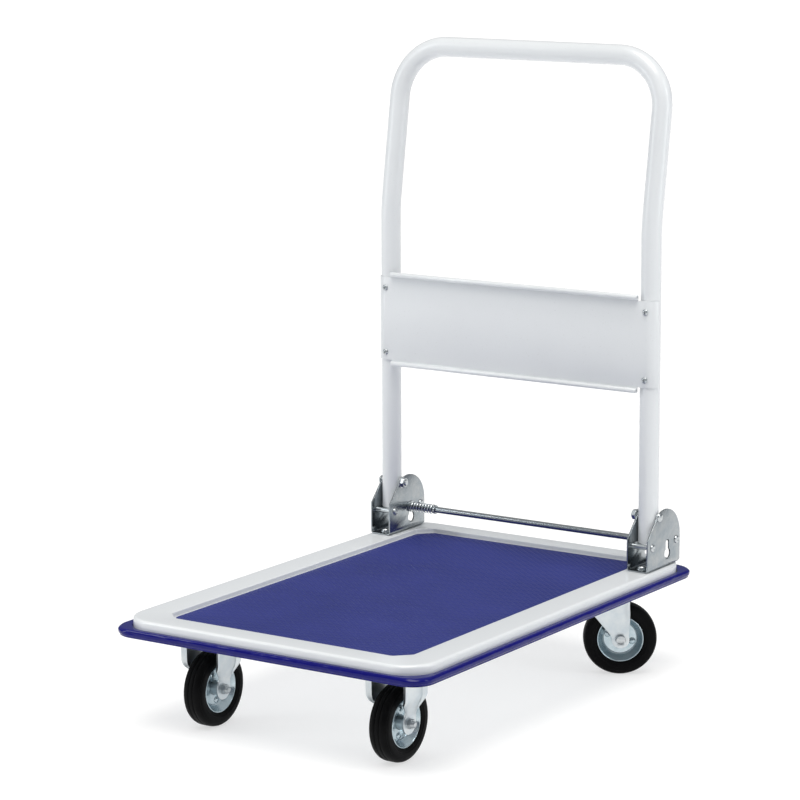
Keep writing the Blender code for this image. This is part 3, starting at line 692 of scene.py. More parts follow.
# Handle panel: thin sheet across the front of the legs. Its top and bottom edges are
# curled forward into stiff rolls, and between them its ends wrap round the legs.
panel_low, panel_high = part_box("handle_panel")
panel_gauge = 0.0012
roll_radius = 0.0027
roll_half = 0.197
roll_turns = [math.radians(330.0 * i / 20) for i in range(21)]
panel_bottom = panel_low.z + 0.003
panel_top = panel_high.z - 0.003
wrap_angle = 80.0
wrap_inset = 0.0045
panel_plane = pivot.y - tube_radius - touching_gap - panel_gauge / 2
panel_mesh = bmesh.new()
wrap = [Vector(p) for p in arc((-leg_x, pivot.y), pivot.y - panel_plane, 270 - wrap_angle, 270, 14)]
wrapped_line = wrap + [Vector((-p.x, p.y)) for p in wrap[::-1]]
wrapped_rows = [at_height(wrapped_line, z) for z in (panel_bottom + wrap_inset, panel_top - wrap_inset)]
skin(panel_mesh, wrapped_rows, closed=False)
for edge, outward in ((panel_bottom, -1.0), (panel_top, 1.0)):
    curl = [(0.0, -wrap_inset)]
    curl += [(roll_radius * (math.cos(t) - 1), roll_radius * math.sin(t)) for t in roll_turns]
    curl_rows = []
    for forward, rise in curl:
        curl_rows.append([(x, panel_plane + forward, edge + rise * outward) for x in (-roll_half, roll_half)])
    skin(panel_mesh, curl_rows, closed=False)
kick_panel = shaded("kick_panel", panel_mesh, 40.0)
panel_piece = new_piece("kick_panel", kick_panel, white_coat, "handle", "white_powder_coat", "handle_panel")
thicken(panel_piece, panel_gauge, 0.0002, offset=0.0)

# Panel screws: four short self-tapping screws with round heads and a cross recess, driven
# through the wrapped ends into the legs. Bright zinc.


def bright_zinc(name, colour, grain, tint, gloss=0.17):
    """Bright zinc plate: a bluish metal with faint cloudy passivation and fine drawn grain."""
    made, wire = new_finish(name, Metallic=1.0)
    place = object_place(wire)
    clouds = cloud(wire, place, 55.0, 5.0, 0.6)
    fine = cloud(wire, object_place(wire, stretch=(1.0, 0.12, 1.0)), grain, 2.0)
    rub = spread(wire, cloud(wire, place, 210.0, 4.0), 0.5, 0.75, 0.0, 1.0)
    tone = blended(wire, spread(wire, clouds, 0.3, 0.7, 0.0, 1.0), colour, tint)
    tone = blended(wire, rub * 0.12, tone, (0.72, 0.73, 0.72, 1.0))
    surface(
        made,
        Base_Color=tone,
        Roughness=spread(wire, clouds, 0.3, 0.7, gloss, gloss + 0.08) + rub * 0.05,
        Normal=bumped(wire, fine, 0.00001, 0.12, bumped(wire, clouds, 0.0003, 0.12)),
    )
    return made


fastener_zinc = bright_zinc(
    "bright_zinc_fasteners", (0.58, 0.60, 0.61, 1.0), 1800.0, (0.42, 0.46, 0.48, 1.0), 0.26
)


def circle(radius, height, sides):
    """Points round local Z."""
    turns = [2 * math.pi * i / sides for i in range(sides)]
    return [(radius * math.cos(t), radius * math.sin(t), height) for t in turns]


def turned(profile, sides, ring=False):
    """A turned shape about local Z from (radius, height) points."""
    made = skinned([circle(r, h, sides) for r, h in profile], ring=ring)
    bmesh.ops.remove_doubles(made, verts=made.verts, dist=1e-7)
    return made


def along(axis, at):
    """A matrix that lays local +Z along an axis, from a point."""
    return Matrix.Translation(at) @ Vector(axis).to_track_quat("Z", "Y").to_matrix().to_4x4()


def joined(name, parts, sharp=32.0):
    """One mesh from several (bmesh, matrix) parts."""
    whole = bmesh.new()
    for made, matrix in parts:
        bmesh.ops.recalc_face_normals(made, faces=made.faces)
        bmesh.ops.transform(made, matrix=matrix, verts=made.verts)
        part = bpy.data.meshes.new("part")
        made.to_mesh(part)
        made.free()
        whole.from_mesh(part)
        bpy.data.meshes.remove(part)
    mesh = bpy.data.meshes.new(name)
    whole.to_mesh(mesh)
    whole.free()
    return smoothed(mesh, sharp)


def fastener(name, parts, body, *nodes):
    """A bright fastener from (bmesh, matrix) parts."""
    new_piece(name, joined(name, parts), fastener_zinc, body, "bright_zinc_fasteners", *nodes)


def cross_recessed_head(radius, height, recess):
    """A round head: rings from the rim up to a four-lobed recess sunk in its crown."""
    sides = 32
    dome = eased([(1.0, 0.0), (0.98, 0.45), (0.62, 0.92), (0.5, 1.0)], 0.25)
    loops = [circle(radius * reach, height * rise, sides) for reach, rise in dome]
    for depth, share in ((1.02, 1.0), (0.35, 0.86), (0.12, 0.35)):
        outline = []
        for i in range(sides):
            turn = 2 * math.pi * i / sides
            lobe = 0.40 + 0.60 * abs(math.cos(2 * turn)) ** 3
            reach = recess * share * lobe
            outline.append((reach * math.cos(turn), reach * math.sin(turn), height * depth))
        loops.append(outline)
    return skinned(loops, capped=True)


for side in ("left", "right"):
    for height_name in ("lower", "upper"):
        node = f"{side}_{height_name}_panel_screw"
        screw_low, screw_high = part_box(node)
        seat_y = panel_plane - panel_gauge / 2
        middle = Vector(((screw_low.x + screw_high.x) / 2, seat_y, (screw_low.z + screw_high.z) / 2))
        shank = turned(
            [(0.0, -0.0095), (0.0012, -0.0090), (0.0021, -0.0065), (0.0021, 0.0001), (0.0, 0.0001)], 16
        )
        head = cross_recessed_head(0.0043, 0.0023, 0.0024)
        place = along((0, -1, 0), middle)
        fastener(node + "_head", [(shank, place), (head, place)], "handle", node)

# Hinge brackets: each one U of thick zinc-plated sheet, bolted to the border. Its two side
# plates are slanted in front and round behind, and a keyhole goes through both of them.
bracket_zinc = bright_zinc("bracket_zinc", (0.37, 0.39, 0.40, 1.0), 1100.0, (0.28, 0.32, 0.35, 1.0))
plate_gauge = 0.002
plate_inside = 0.0142
bracket_front = -0.030
slant_foot = -0.028
crown_y, crown_z, crown_radius = 0.018, -0.033, 0.041
keyhole_y, keyhole_head_z, rod_z = 0.0244, -0.0544, -0.0394
keyhole_head_radius, slot_radius = 0.0078, 0.0047
outer_bend, inner_bend = 0.0032, 0.0012


def carved(name, base, keep, cutters, bevel):
    """What two closed shapes share, less some others, its edges eased, as plain faces."""
    helpers = []
    for i, made in enumerate([base, keep] + cutters):
        bmesh.ops.recalc_face_normals(made, faces=made.faces)
        mesh = bpy.data.meshes.new(name)
        made.to_mesh(mesh)
        made.free()
        helpers.append(bpy.data.objects.new(f"{name}_helper_{i}", mesh))
        bpy.context.scene.collection.objects.link(helpers[-1])
    for i, helper in enumerate(helpers[1:]):
        cut = helpers[0].modifiers.new("Cut", "BOOLEAN")
        cut.operation = "DIFFERENCE" if i else "INTERSECT"
        cut.object = helper
    deburr(helpers[0], bevel, 38.0)
    bpy.context.view_layer.update()
    result = bpy.data.meshes.new_from_object(helpers[0].evaluated_get(bpy.context.evaluated_depsgraph_get()))
    for helper in helpers:
        bpy.data.objects.remove(helper)
    result.name = name
    result.materials.clear()
    return smoothed(result, 38.0)


def upright_prism(outline, low_x, high_x):
    """A closed (y, z) outline about the pivot, stretched along X."""
    loops = [[(x, pivot.y + y, pivot.z + z) for y, z in outline] for x in (low_x, high_x)]
    return skinned(loops, capped=True)


def trough(x, half, floor_z, top_z, bend):
    """A long block, open shape of a U in section: its two lower edges are bent round."""
    corners = [(-half, top_z), (-half, floor_z), (half, floor_z), (half, top_z)]
    section = eased(corners, bend * 1.6, steps=5)
    return skinned([[(x + sx, pivot.y + y, sz) for sx, sz in section] for y in (-0.1, 0.1)], capped=True)


def hinge_bracket(name, x):
    foot = deck_high.z + touching_gap
    below = foot - pivot.z - 0.01
    rear = crown_y + crown_radius
    plate = [(bracket_front, below), (bracket_front, slant_foot)]
    plate += arc((crown_y, crown_z), crown_radius, 118, 0, 22)
    plate += [(rear, foot - pivot.z + 0.004), (rear - 0.004, foot - pivot.z), (rear - 0.004, below)]
    opening = math.degrees(math.asin(slot_radius / keyhole_head_radius))
    keyhole = arc((keyhole_y, keyhole_head_z), keyhole_head_radius, 90 + opening, 450 - opening, 22)
    keyhole += arc((keyhole_y, rod_z), slot_radius, 0, 180, 10)
    half = plate_inside + plate_gauge
    return carved(
        name,
        upright_prism(plate, x - half - 0.01, x + half + 0.01),
        trough(x, half, foot, pivot.z + 0.05, outer_bend),
        [
            trough(x, plate_inside, foot + plate_gauge, pivot.z + 0.06, inner_bend),
            upright_prism(keyhole, x - half - 0.02, x + half + 0.02),
        ],
        0.00028,
    )


leg_sides = (("left", -leg_x), ("right", leg_x))
for side, x in leg_sides:
    name = side + "_bracket_plate"
    plate = hinge_bracket(name, x)
    new_piece(name, plate, bracket_zinc, "deck", "zinc_plated_steel", side + "_hinge_bracket")

# Spacer pins: four shouldered pins keep each bracket's plates apart. Their necks go through
# the plates and are riveted over outside, which leaves a dished, slightly uneven head.
spacer_radius = 0.0035


def mirrored(half):
    """A closed section from its upper half, (radius, height) points."""
    return list(half) + [(r, -h) for r, h in half[::-1]]


for side in ("left", "right"):
    for end in ("front", "rear"):
        node = f"{side}_{end}_spacer"
        pin_low, pin_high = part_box(node)
        centre = (pin_low + pin_high) / 2
        outside = plate_inside + plate_gauge
        tip = (pin_high.x - pin_low.x) / 2
        half_profile = [(0.0, tip - 0.0007), (0.0018, tip - 0.0004), (0.0030, tip), (0.0048, tip - 0.0009)]
        half_profile += [
            (0.0056, outside + 0.0004), (0.0054, outside), (0.0028, outside), (0.0028, plate_inside)
        ]
        half_profile += [(spacer_radius, plate_inside), (spacer_radius, plate_inside - 0.001)]
        half_profile = eased(half_profile, 0.0004, steps=2)
        pin = turned(mirrored(half_profile), 28)
        fastener(node + "_pin", [(pin, along((1, 0, 0), centre))], "deck", node)

# Bracket bolts: round-headed bolts with flat washers hold each bracket down. Under the deck
# each has another flat washer and a domed nut.
bolt_radius = 0.0039
washer_bore = 0.0043
washer_gauge = 0.0012
lower_washer_gauge = 0.0014
bracket_nut_height = 0.0065
upside_down = Matrix.Rotation(math.pi, 4, "X")


def hex_loops(across, heights, sides=36):
    """Rings of a hexagon whose corners are chamfered: (height, share of the corners)."""
    loops = []
    for height, share in heights:
        outline = []
        for i in range(sides):
            turn = 2 * math.pi * i / sides
            flat = across / 2 / math.cos((turn % (math.pi / 3)) - math.pi / 6)
            reach = min(flat, across / 2 * share)
            outline.append((reach * math.cos(turn), reach * math.sin(turn), height))
        loops.append(outline)
    return loops


def hex_nut(across, height, bore):
    """A nut standing from z = 0 up, both faces chamfered, its bore open."""
    heights = [(0.0, 1.0), (height * 0.08, 1.08), (height * 0.14, 1.16)]
    heights += [(height * 0.86, 1.16), (height * 0.92, 1.08), (height, 1.0)]
    rim = [(bore * 1.25, height), (bore, height * 0.86), (bore, height * 0.14), (bore * 1.25, 0.0)]
    return skinned(hex_loops(across, heights) + [circle(r, h, 36) for r, h in rim], ring=True)


def threaded_end(radius, low, high, pitch=0.00125):
    """A bolt's end with turned thread crests, chamfered at its tip."""
    profile = [(0.0, low)]
    count = max(2, int((high - low) / pitch))
    for i in range(count):
        base = low + (high - low) * i / count
        step = (high - low) / count
        profile += [(radius * 0.88, base + 0.05 * step), (radius, base + 0.45 * step)]
        profile += [(radius, base + 0.60 * step)]
    profile += [
        (radius * 0.94, high - 0.0012), (radius * 0.78, high - 0.0004), (radius * 0.45, high), (0.0, high)
    ]
    return turned(profile, 24)


def washer(outer, inner, thickness):
    section = [(outer, thickness), (outer, 0.0), (inner, 0.0), (inner, thickness)]
    return turned(eased(section, thickness * 0.3, closed=True, steps=2), 36, ring=True)


def domed_head(radius, height, seat=0.0):
    """A smooth round head that stands from its seat up."""
    profile = [(0.0, seat), (radius * 0.97, seat), (radius, seat + height * 0.14)]
    for turn in [math.radians(angle) for angle in range(15, 90, 15)]:
        profile.append((radius * math.cos(turn), seat + height * (0.14 + 0.86 * math.sin(turn))))
    return turned(profile + [(0.0, seat + height)], 32)


def raised(matrix, height):
    """The same place, moved along its own Z."""
    return matrix @ Matrix.Translation((0.0, 0.0, height))


for side, x in leg_sides:
    for end in ("front", "rear"):
        node = f"{side}_{end}_bracket_bolt"
        bolt_low, bolt_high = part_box(node)
        up = Matrix.Translation((x, (bolt_low.y + bolt_high.y) / 2, 0.0))
        seat = deck_high.z + touching_gap + plate_gauge
        under = deck_high.z - sheet_gauge - 0.0002
        nut_top = under - 0.0016
        parts = [
            (washer(0.0074, washer_bore, washer_gauge), raised(up, seat)),
            (domed_head(0.0064, 0.0042), raised(up, seat + washer_gauge)),
            (threaded_end(bolt_radius, nut_top - 0.022, seat + washer_gauge), up),
            (washer(0.0086, washer_bore, lower_washer_gauge), raised(up, under - lower_washer_gauge)),
            (hex_nut(0.013, bracket_nut_height, 0.0040), raised(up, nut_top - bracket_nut_height)),
            (domed_head(0.0058, 0.0085), raised(up, bolt_low.z + 0.0030) @ upside_down),
        ]
        fastener(node + "_set", parts, "deck", node)

# Pivot bolts: each leg turns on a bolt with a domed head outside and a chamfered nut
# inside, through the bracket and the tube. Bright zinc, with a washer under the nut.
for side, outward in (("left", -1.0), ("right", 1.0)):
    bolt_low, bolt_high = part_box(side + "_pivot_bolt")
    outside = plate_inside + plate_gauge + 0.0001
    end = (bolt_high.x - bolt_low.x) - (outside + 0.0042)
    pivot_place = along((outward, 0, 0), (outward * leg_x, pivot.y, pivot.z))
    pin = [
        (domed_head(0.0066, 0.0042, outside), pivot_place),
        (threaded_end(bolt_radius, -end, outside), pivot_place),
    ]
    fastener(side + "_pivot_pin", pin, "deck", side + "_pivot_bolt")
    nut = [
        (washer(0.0080, washer_bore, washer_gauge), raised(pivot_place, -outside - washer_gauge)),
        (hex_nut(0.0125, 0.0055, 0.0041), raised(pivot_place, -outside - 0.0068)),
    ]
    fastener(side + "_pivot_lock_nut", nut, "deck", side + "_pivot_nut")

# Lock rod: a bright bar through both brackets' keyholes, behind the legs. It has a swaged
# collar for its spring, a retaining groove beside it, and chamfered, slightly worn ends.
rod_low, rod_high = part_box("lock_rod")
rod_radius = 0.0043
collar_start = -0.152
rod_centre = Vector((0.0, (rod_low.y + rod_high.y) / 2, (rod_low.z + rod_high.z) / 2))
rod_profile = [(0.0, rod_high.x), (rod_radius - 0.0012, rod_high.x), (rod_radius, rod_high.x - 0.0012)]
rod_profile += [(rod_radius, collar_start + 0.0046), (rod_radius - 0.0005, collar_start + 0.0042)]
rod_profile += [(rod_radius - 0.0005, collar_start + 0.0034), (0.0057, collar_start + 0.0032)]
rod_profile += [(0.0062, collar_start + 0.0027), (0.0062, collar_start + 0.0004), (0.0057, collar_start)]
rod_profile += [
    (rod_radius, collar_start), (rod_radius, rod_low.x + 0.0012), (rod_radius - 0.0012, rod_low.x)
]
rod_profile += [(0.0, rod_low.x)]
rod_mesh = joined("lock_bar", [(turned(rod_profile, 40), along((1, 0, 0), rod_centre))])
new_piece("lock_bar", rod_mesh, bracket_zinc, "lock", "zinc_plated_steel", "lock_rod")

# Lock spring: a coil of drawn wire between the left bracket and the rod's collar.
spring_low, spring_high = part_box("lock_spring")
spring_wire_radius = 0.0008
spring_radius = 0.0061
spring_coils = 8.0
spring_seat_thickness = 0.0012


def spring_nodes():
    wire, given = new_nodes("coil_spring", Radius="Float", Wire="Float", Length="Float", Coils="Float")
    coil = wire.node(
        "GeometryNodeCurveSpiral",
        sockets={
            "Resolution": 28,
            "Rotations": given["Coils"],
            "Start Radius": given["Radius"],
            "End Radius": given["Radius"],
            "Height": given["Length"],
        },
    )
    round_wire = circle_line(wire, given["Wire"], 10)
    solid = wire.node(
        "GeometryNodeCurveToMesh", sockets={"Curve": coil, "Profile Curve": round_wire, "Fill Caps": True}
    )
    return end_nodes(wire, given, solid)


spring_steel = bright_zinc("spring_wire", (0.84, 0.86, 0.87, 1.0), 2400.0, (0.74, 0.79, 0.82, 1.0))
spring_mesh = grown(
    "lock_coil",
    spring_nodes(),
    Radius=spring_radius,
    Wire=spring_wire_radius,
    Length=spring_high.x - spring_low.x - 2 * spring_wire_radius,
    Coils=spring_coils,
    Finish=spring_steel,
)
spring_start = Vector((spring_low.x + spring_wire_radius, rod_centre.y, rod_centre.z))
spring_mesh.transform(along((1, 0, 0), spring_start))
spring_mesh.shade_smooth()
spring_piece = new_piece("lock_coil", spring_mesh, None, "deck", "spring_wire", "lock_spring")
seat_place = along((1, 0, 0), (-leg_x + plate_inside + plate_gauge, rod_centre.y, rod_centre.z))
seat_washer = washer(0.0082, 0.0048, spring_seat_thickness)
fastener("spring_washer", [(seat_washer, seat_place)], "deck")
spring_length = spring_high.x - spring_low.x
rod_travel = joint_named("lock_push")["range_m"][1]
1 - rod_travel / spring_length
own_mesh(spring_piece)

# Fixed casters: each fork is one pressing of zinc-plated sheet, folded over the wheel. Its
# legs are wide above, with both edges bent out, and step in to a round foot at the axle.
sheet_zinc = bright_zinc("zinc_plated_steel", (0.66, 0.69, 0.70, 1.0), 1100.0, (0.55, 0.61, 0.65, 1.0), 0.30)
fork_gauge = 0.0025


def run_frame(corner):
    """A wheel's place: local Y lies along its axle, and local X the way that it rolls."""
    spin = joint_named(corner + "_spin")
    turn = math.atan2(-spin["axis"][0], spin["axis"][1])
    return Matrix.Translation(spin["pos_m"]) @ Matrix.Rotation(turn, 4, "Z")


def pressed_fork(rows, foot_radius, fold, section, wing, wing_start, wing_full):
    """A fork from rows (side, height, start, end) of one leg, from its foot to the top's middle.

    Each row's section is a list of (share of the row, share of the wing out, and along)."""
    foot_turns = [math.radians(-90 + 10 * i) for i in range(1, 10)]
    leg = [
        Vector((rows[0][0], foot_radius * math.sin(t), -foot_radius * math.cos(t), foot_radius * math.cos(t)))
        for t in foot_turns
    ]
    leg += eased([Vector(row) for row in rows], fold, steps=5)
    top = rows[-1][1]
    loops = []
    for sign, half in ((1.0, leg), (-1.0, leg[::-1])):
        for side, height, start, end in half:
            rise = (height - wing_start) / (wing_full - wing_start)
            reach = wing * max(0.0, min(1.0, rise, (top - height) / 0.005))
            loops.append(
                [
                    (start + (end - start) * share + reach * way, sign * (side + reach * out), height)
                    for share, out, way in section
                ]
            )
    return skinned(loops, closed=False)


fixed_rows = [
    (0.0138, 0.0070, -0.0138, 0.0138),
    (0.0150, 0.0130, -0.0136, 0.0108),
    (0.0232, 0.0340, -0.0150, 0.0235),
    (0.0238, 0.0700, -0.0155, 0.0235),
    (0.0225, 0.0755, -0.040, 0.044),
    (0.0100, 0.0755, -0.046, 0.046),
]
wing_out, wing_along = math.sin(math.radians(50.0)), math.cos(math.radians(50.0))
fixed_section = [(0.0, wing_out * k, -wing_along * k) for k in (1.0, 0.66, 0.33)]
fixed_section += [(0.0, 0.06, -0.10), (0.03, 0.0, 0.0), (0.5, 0.0, 0.0), (0.97, 0.0, 0.0), (1.0, 0.06, 0.10)]
fixed_section += [(1.0, wing_out * k, wing_along * k) for k in (0.33, 0.66, 1.0)]
for side in ("left", "right"):
    name = f"front_{side}_pressed_fork"
    sheet = pressed_fork(fixed_rows, 0.0138, 0.0045, fixed_section, 0.008, 0.012, 0.036)
    fork = shaded(name, sheet, 35.0, run_frame("front_" + side))
    fork_piece = new_piece(name, fork, sheet_zinc, "deck", "zinc_plated_steel", f"front_{side}_fixed_fork")
    thicken(fork_piece, fork_gauge, 0.0004, offset=1.0, quality=True)

# Swivel casters: a plate and ball race bolted under the deck, and a raked fork of pressed
# sheet that hangs from them on a riveted king pin. The balls show in the gap of the race.
swivel_rows = [
    (0.0138, 0.005, -0.0125, 0.0114),
    (0.0148, 0.033, -0.035, 0.0132),
    (0.0200, 0.056, -0.055, 0.012),
    (0.0190, 0.062, -0.059, 0.006),
    (0.0080, 0.062, -0.062, 0.004),
]
plate_corner = 0.008
swivel_section = [(0.0, 1.0, 0.0), (0.26, 0.54, 0.0), (0.48, 0.12, 0.0), (0.56, 0.02, 0.0), (0.60, 0.0, 0.0)]
swivel_section += [(0.82, 0.0, 0.0), (0.87, 0.05, 0.0), (0.92, 0.20, 0.0), (1.0, 0.55, 0.0)]
ball_radius = 0.0019
ball_circle = 0.0212
ball_count = 26


def ball_nodes():
    wire, given = new_nodes("race_balls", Radius="Float")
    ball = wire.node(
        "GeometryNodeMeshUVSphere", sockets={"Segments": 10, "Rings": 6, "Radius": given["Radius"]}
    )
    smooth = wire.node("GeometryNodeSetShadeSmooth", sockets={"Geometry": ball})
    balls = wire.node(
        "GeometryNodeInstanceOnPoints", sockets={"Points": given["Geometry"], "Instance": smooth}
    )
    return end_nodes(wire, given, balls)


ball_tree = ball_nodes()
for side in ("left", "right"):
    corner = "rear_" + side
    name = corner + "_raked_fork"
    sheet = pressed_fork(swivel_rows, 0.0120, 0.006, swivel_section, 0.0045, 0.004, 0.034)
    fork = shaded(name, sheet, 35.0, run_frame(corner))
    fork_piece = new_piece(
        name, fork, sheet_zinc, corner + "_swivel", "zinc_plated_steel", corner + "_swivel_fork"
    )
    thicken(fork_piece, fork_gauge, 0.0004, offset=1.0, quality=True)
    plate_low, plate_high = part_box(corner + "_swivel_plate")
    pin_low, pin_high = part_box(corner + "_king_pin")
    middle = (pin_low + pin_high) / 2
    plate_floor = plate_high.z - fork_gauge
    plate_loops = []
    for out, z in eased(
        [(-0.001, plate_floor), (0.0, plate_floor), (0.0, plate_high.z), (-0.001, plate_high.z)], 0.0005
    ):
        half_x, half_y = (plate_high.x - plate_low.x) / 2 + out, (plate_high.y - plate_low.y) / 2 + out
        outline = round_corners(half_x, -half_y, half_y, plate_corner + out)
        plate_loops.append(at_height(outline, z))
    plate = bmesh.new()
    skin(plate, plate_loops, capped=True)
    race_section = [
        (0.012, plate_low.z + 0.0016), (0.0190, plate_low.z + 0.0016), (0.0205, plate_low.z + 0.0034)
    ]
    race_section += [(0.0228, plate_low.z + 0.0030), (0.0240, plate_low.z), (0.0250, plate_low.z + 0.0006)]
    race_section += [
        (0.0250, plate_low.z + 0.0040), (0.0228, plate_floor + 0.0002), (0.012, plate_floor + 0.0002)
    ]
    race = turned(eased(race_section, 0.0006, closed=True), 56, ring=True)
    parts = [
        (plate, Matrix.Translation((middle.x, (plate_low.y + plate_high.y) / 2, 0.0))),
        (race, Matrix.Translation((middle.x, middle.y, 0.0))),
    ]
    race_mesh = joined(corner + "_plate_and_race", parts)
    new_piece(
        corner + "_plate_and_race", race_mesh, sheet_zinc, "deck", "zinc_plated_steel", corner + "_swivel_plate"
    )
    ball_places = [
        (middle.x + x, middle.y + y, plate_low.z + 0.0012) for x, y in arc((0, 0), ball_circle, 0, 360, ball_count)[:-1]
    ]
    balls = grown(corner + "_race_balls", ball_tree, ball_places, Radius=ball_radius, Finish=fastener_zinc)
    new_piece(corner + "_race_balls", balls, None, "deck", "bright_zinc_fasteners")
    pin_profile = [
        (0.0, pin_low.z), (0.0052, pin_low.z), (0.0070, pin_low.z + 0.0006), (0.0094, pin_low.z + 0.0022)
    ]
    pin_profile += [(0.0100, pin_low.z + 0.0036), (0.0097, pin_low.z + 0.0045), (0.0060, pin_low.z + 0.0045)]
    pin_profile += [(0.0060, pin_high.z), (0.0, pin_high.z)]
    pin = joined(
        corner + "_riveted_pin", [(turned(pin_profile, 36), Matrix.Translation((middle.x, middle.y, 0.0)))]
    )
    new_piece(
        corner + "_riveted_pin", pin, fastener_zinc, "deck", "bright_zinc_fasteners", corner + "_king_pin"
    )

# Caster bolts: each caster hangs on four bolts through its plate and the stiffener. From
# below each shows a washer, a hexagon nut and the bolt's end.


def caster_bolt_nodes():
    wire, given = new_nodes("caster_bolts", Across="Float", Height="Float", Bolt="Float")

    def disc(sides, radius, depth, drop):
        """A short cylinder that hangs below z = 0."""
        made = wire.node(
            "GeometryNodeMeshCylinder", sockets={"Vertices": sides, "Radius": radius, "Depth": depth}
        )
        place = wire.node("ShaderNodeCombineXYZ", sockets={2: depth * -0.5 - drop})
        return wire.node("GeometryNodeTransform", sockets={"Geometry": made, "Translation": place})

    radius = given["Across"] * 0.577
    washer_height = given["Height"] * 0.2
    flat_washer = disc(28, radius * 1.16, washer_height, given["Height"] * 0.0)
    nut = disc(6, radius, given["Height"], washer_height)
    nut_face = disc(28, given["Across"] * 0.47, given["Height"] * 0.06, given["Height"] * 1.18)
    end = disc(18, given["Bolt"], given["Height"] * 0.45, given["Height"] * 1.2)
    tip = disc(18, given["Bolt"] * 0.82, given["Height"] * 0.1, given["Height"] * 1.62)
    whole = wire.tree.nodes.new("GeometryNodeJoinGeometry")
    for part in (flat_washer, nut, nut_face, end, tip):
        wire.tree.links.new(part.socket, whole.inputs[0])
    bolts = wire.node(
        "GeometryNodeInstanceOnPoints",
        sockets={"Points": given["Geometry"], "Instance": Wire(wire.tree, whole.outputs[0])},
    )
    return end_nodes(wire, given, bolts)


bolt_places = []
for side in ("left", "right"):
    fork_low, fork_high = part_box(f"front_{side}_fixed_fork")
    plate_low, plate_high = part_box(f"rear_{side}_swivel_plate")
    for low, high, half_x, half_y in (
        (fork_low, fork_high, 0.0115, 0.034),
        (plate_low, plate_high, 0.0275, 0.0375),
    ):
        middle = (low + high) / 2
        for way_x in (-1, 1):
            for way_y in (-1, 1):
                bolt_places.append(
                    (middle.x + way_x * half_x, middle.y + way_y * half_y, high.z - fork_gauge)
                )
bolts_mesh = grown(
    "caster_bolts", caster_bolt_nodes(), bolt_places, Across=0.0127, Height=0.0062, Bolt=0.0038, Finish=fastener_zinc
)
bolts_mesh.set_sharp_from_angle(angle=math.radians(32.0))
new_piece("caster_bolts", bolts_mesh, None, "deck", "bright_zinc_fasteners")

# Tyres: solid black rubber moulded on the rims, with two shallow grooves round the tread, a
# mould line at each shoulder and a stepped bead where the rubber meets the rim.


def solid_rubber():
    made, wire = new_finish("black_rubber", Specular_IOR_Level=0.07)
    place = object_place(wire)
    bloom = cloud(wire, place, 38.0, 5.0, 0.6)
    dust = spread(wire, cloud(wire, place, 520.0, 3.0), 0.58, 0.80, 0.0, 0.5)
    bloomed = spread(wire, bloom, 0.35, 0.7, 0.0, 1.0)
    tone = blended(wire, bloomed, (0.0015, 0.0015, 0.0018, 1.0), (0.0035, 0.0035, 0.004, 1.0))
    tone = blended(wire, dust, tone, (0.010, 0.010, 0.011, 1.0))
    surface(
        made,
        Base_Color=tone,
        Roughness=spread(wire, bloom, 0.3, 0.7, 0.42, 0.58),
        Normal=bumped(wire, cloud(wire, place, 900.0, 2.0), 0.00010, 0.5, bumped(wire, bloom, 0.0006, 0.3)),
    )
    return made


def wheel_frame(corner):
    """A wheel's place with local Z along its axle."""
    return run_frame(corner) @ Matrix.Rotation(math.radians(-90.0), 4, "X")


black_rubber = solid_rubber()
corners = ("front_left", "front_right", "rear_left", "rear_right")
tyre_half = [(0.0500, 0.0001), (0.0500, 0.0024), (0.0492, 0.0028), (0.0492, 0.0036), (0.0500, 0.0040)]
tyre_half += [(0.0499, 0.0066), (0.0491, 0.0096), (0.0477, 0.0118), (0.0463, 0.0129), (0.0459, 0.0126)]
tyre_half += [(0.0454, 0.0132), (0.0430, 0.0140), (0.0374, 0.0141), (0.0366, 0.0132), (0.0352, 0.0130)]
tyre_half += [(0.0338, 0.0124), (0.0324, 0.0108), (0.0316, 0.0100), (0.0306, 0.0097), (0.0246, 0.0008)]
for corner in corners:
    wheel_matrix = wheel_frame(corner)
    tyre_section = eased(mirrored(tyre_half), 0.00025, closed=True, steps=2)
    tyre = joined(corner + "_rubber_tyre", [(turned(tyre_section, 112, ring=True), wheel_matrix)], 50.0)
    new_piece(
        corner + "_rubber_tyre", tyre, black_rubber, corner + "_wheel", "black_rubber", corner + "_tyre"
    )

# Rims: two dished pressings of zinc-plated sheet riveted back to back. Each has a flat disc
# with two round bosses, a steep wall, and a lip rolled out over the tyre's bead.
# The rims' zinc is painted darker and more teal than the forks' zinc: painted shade standing in for the dark teal
# reflections on the rim walls.
shaded_teal_rim_zinc = bright_zinc("shaded_teal_rim_zinc", (0.52, 0.59, 0.62, 1.0), 1100.0, (0.36, 0.46, 0.51, 1.0))
boss_circle = 0.0175
boss_turns = {"front_left": 100.0, "front_right": 80.0, "rear_left": 45.0, "rear_right": 17.0}
rim_half = [(0.0093, 0.0016), (0.0105, 0.0021), (0.0125, 0.0016), (0.0218, 0.0016), (0.0236, 0.0024)]
rim_half += [(0.0294, 0.0104), (0.0300, 0.0114), (0.0308, 0.0119), (0.0317, 0.0115), (0.0319, 0.0105)]
rim_half += [(0.0308, 0.0099), (0.0300, 0.0092), (0.0243, 0.0012), (0.0225, 0.0003), (0.0093, 0.0003)]
boss_profile = [(0.0, 0.0034), (0.0016, 0.0034), (0.0022, 0.0030), (0.0034, 0.0030), (0.0042, 0.0024)]
boss_profile += [(0.0047, 0.0015), (0.0, 0.0012)]
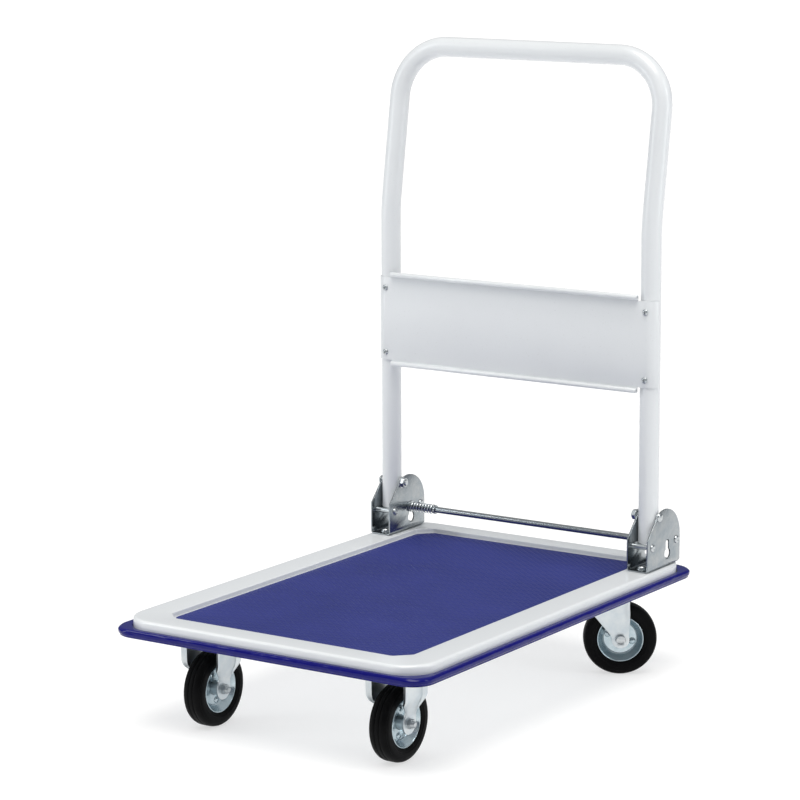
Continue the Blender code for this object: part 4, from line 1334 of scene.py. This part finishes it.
for corner in corners:
    wheel_matrix = wheel_frame(corner)
    axle_centre = wheel_matrix.translation
    axle_way = wheel_matrix.to_3x3() @ Vector((0.0, 0.0, 1.0))
    for half in ("outer", "inner"):
        rim_low, rim_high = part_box(f"{corner}_rim_{half}")
        facing = ((rim_low + rim_high) / 2 - axle_centre).dot(axle_way) > 0
        turn_over = Matrix.Identity(4) if facing else upside_down
        rim_matrix = wheel_matrix @ turn_over
        parts = [(turned(eased(rim_half, 0.0006, closed=True), 96, ring=True), rim_matrix)]
        for opposite in (0.0, 180.0):
            spot = math.radians(boss_turns[corner] * (1 if facing else -1) + opposite)
            place = Matrix.Translation((boss_circle * math.cos(spot), boss_circle * math.sin(spot), 0.0))
            parts.append((turned(boss_profile, 28), rim_matrix @ place))
        name = f"{corner}_{half}_rim_half"
        rim = joined(name, parts, 40.0)
        new_piece(name, rim, shaded_teal_rim_zinc, corner + "_wheel", "zinc_plated_steel", f"{corner}_rim_{half}")

# Hubs: a turned steel bush in the middle of each wheel, on which it spins.
hub_half = [(0.0090, 0.0001), (0.0090, 0.0120), (0.0082, 0.0132), (0.0051, 0.0132), (0.0043, 0.0125)]
hub_half += [(0.0043, 0.0001)]
for corner in corners:
    bush = turned(eased(mirrored(hub_half), 0.0003, closed=True, steps=2), 40, ring=True)
    hub = joined(corner + "_bush", [(bush, wheel_frame(corner))])
    new_piece(corner + "_bush", hub, sheet_zinc, corner + "_wheel", "zinc_plated_steel", corner + "_hub")

# Axle bolts: a hexagon bolt and a nut clamp each fork on its wheel's bush, with a washer
# under each. The bolt's chamfered end stands out of the nut.
axle_seat = 0.0169
axle_across = 0.013
axle_radius = 0.0040


def hexagon_head(across, height):
    """A bolt head from z = 0 up, its upper corners chamfered, with a shallow dish on top."""
    loops = hex_loops(across, [(0.0, 1.16), (height * 0.74, 1.16), (height * 0.88, 1.06), (height, 0.96)])
    crown = [(across * 0.40, height), (across * 0.36, height * 0.95), (across * 0.1, height * 0.93)]
    return skinned(loops + [circle(r, h, 36) for r, h in crown], capped=True)


for corner in corners:
    body = "deck" if corner.startswith("front") else corner + "_swivel"
    bolt_matrix = run_frame(corner) @ Matrix.Rotation(math.radians(90.0), 4, "X")
    nut_matrix = bolt_matrix @ upside_down
    bolt_parts = [
        (washer(0.0070, 0.0042, 0.0008), raised(bolt_matrix, axle_seat - 0.0007)),
        (hexagon_head(axle_across, 0.0052), raised(bolt_matrix, axle_seat)),
        (threaded_end(axle_radius, -axle_seat + 0.001, axle_seat + 0.001), bolt_matrix),
        (threaded_end(axle_radius, axle_seat - 0.002, axle_seat + 0.0082), nut_matrix),
    ]
    fastener(corner + "_axle_pin", bolt_parts, body, corner + "_axle_bolt")
    nut_parts = [
        (washer(0.0070, 0.0042, 0.0008), raised(nut_matrix, axle_seat - 0.0007)),
        (hex_nut(0.0115, 0.0045, 0.0041), raised(nut_matrix, axle_seat)),
    ]
    fastener(corner + "_axle_lock_nut", nut_parts, body, corner + "_axle_nut")
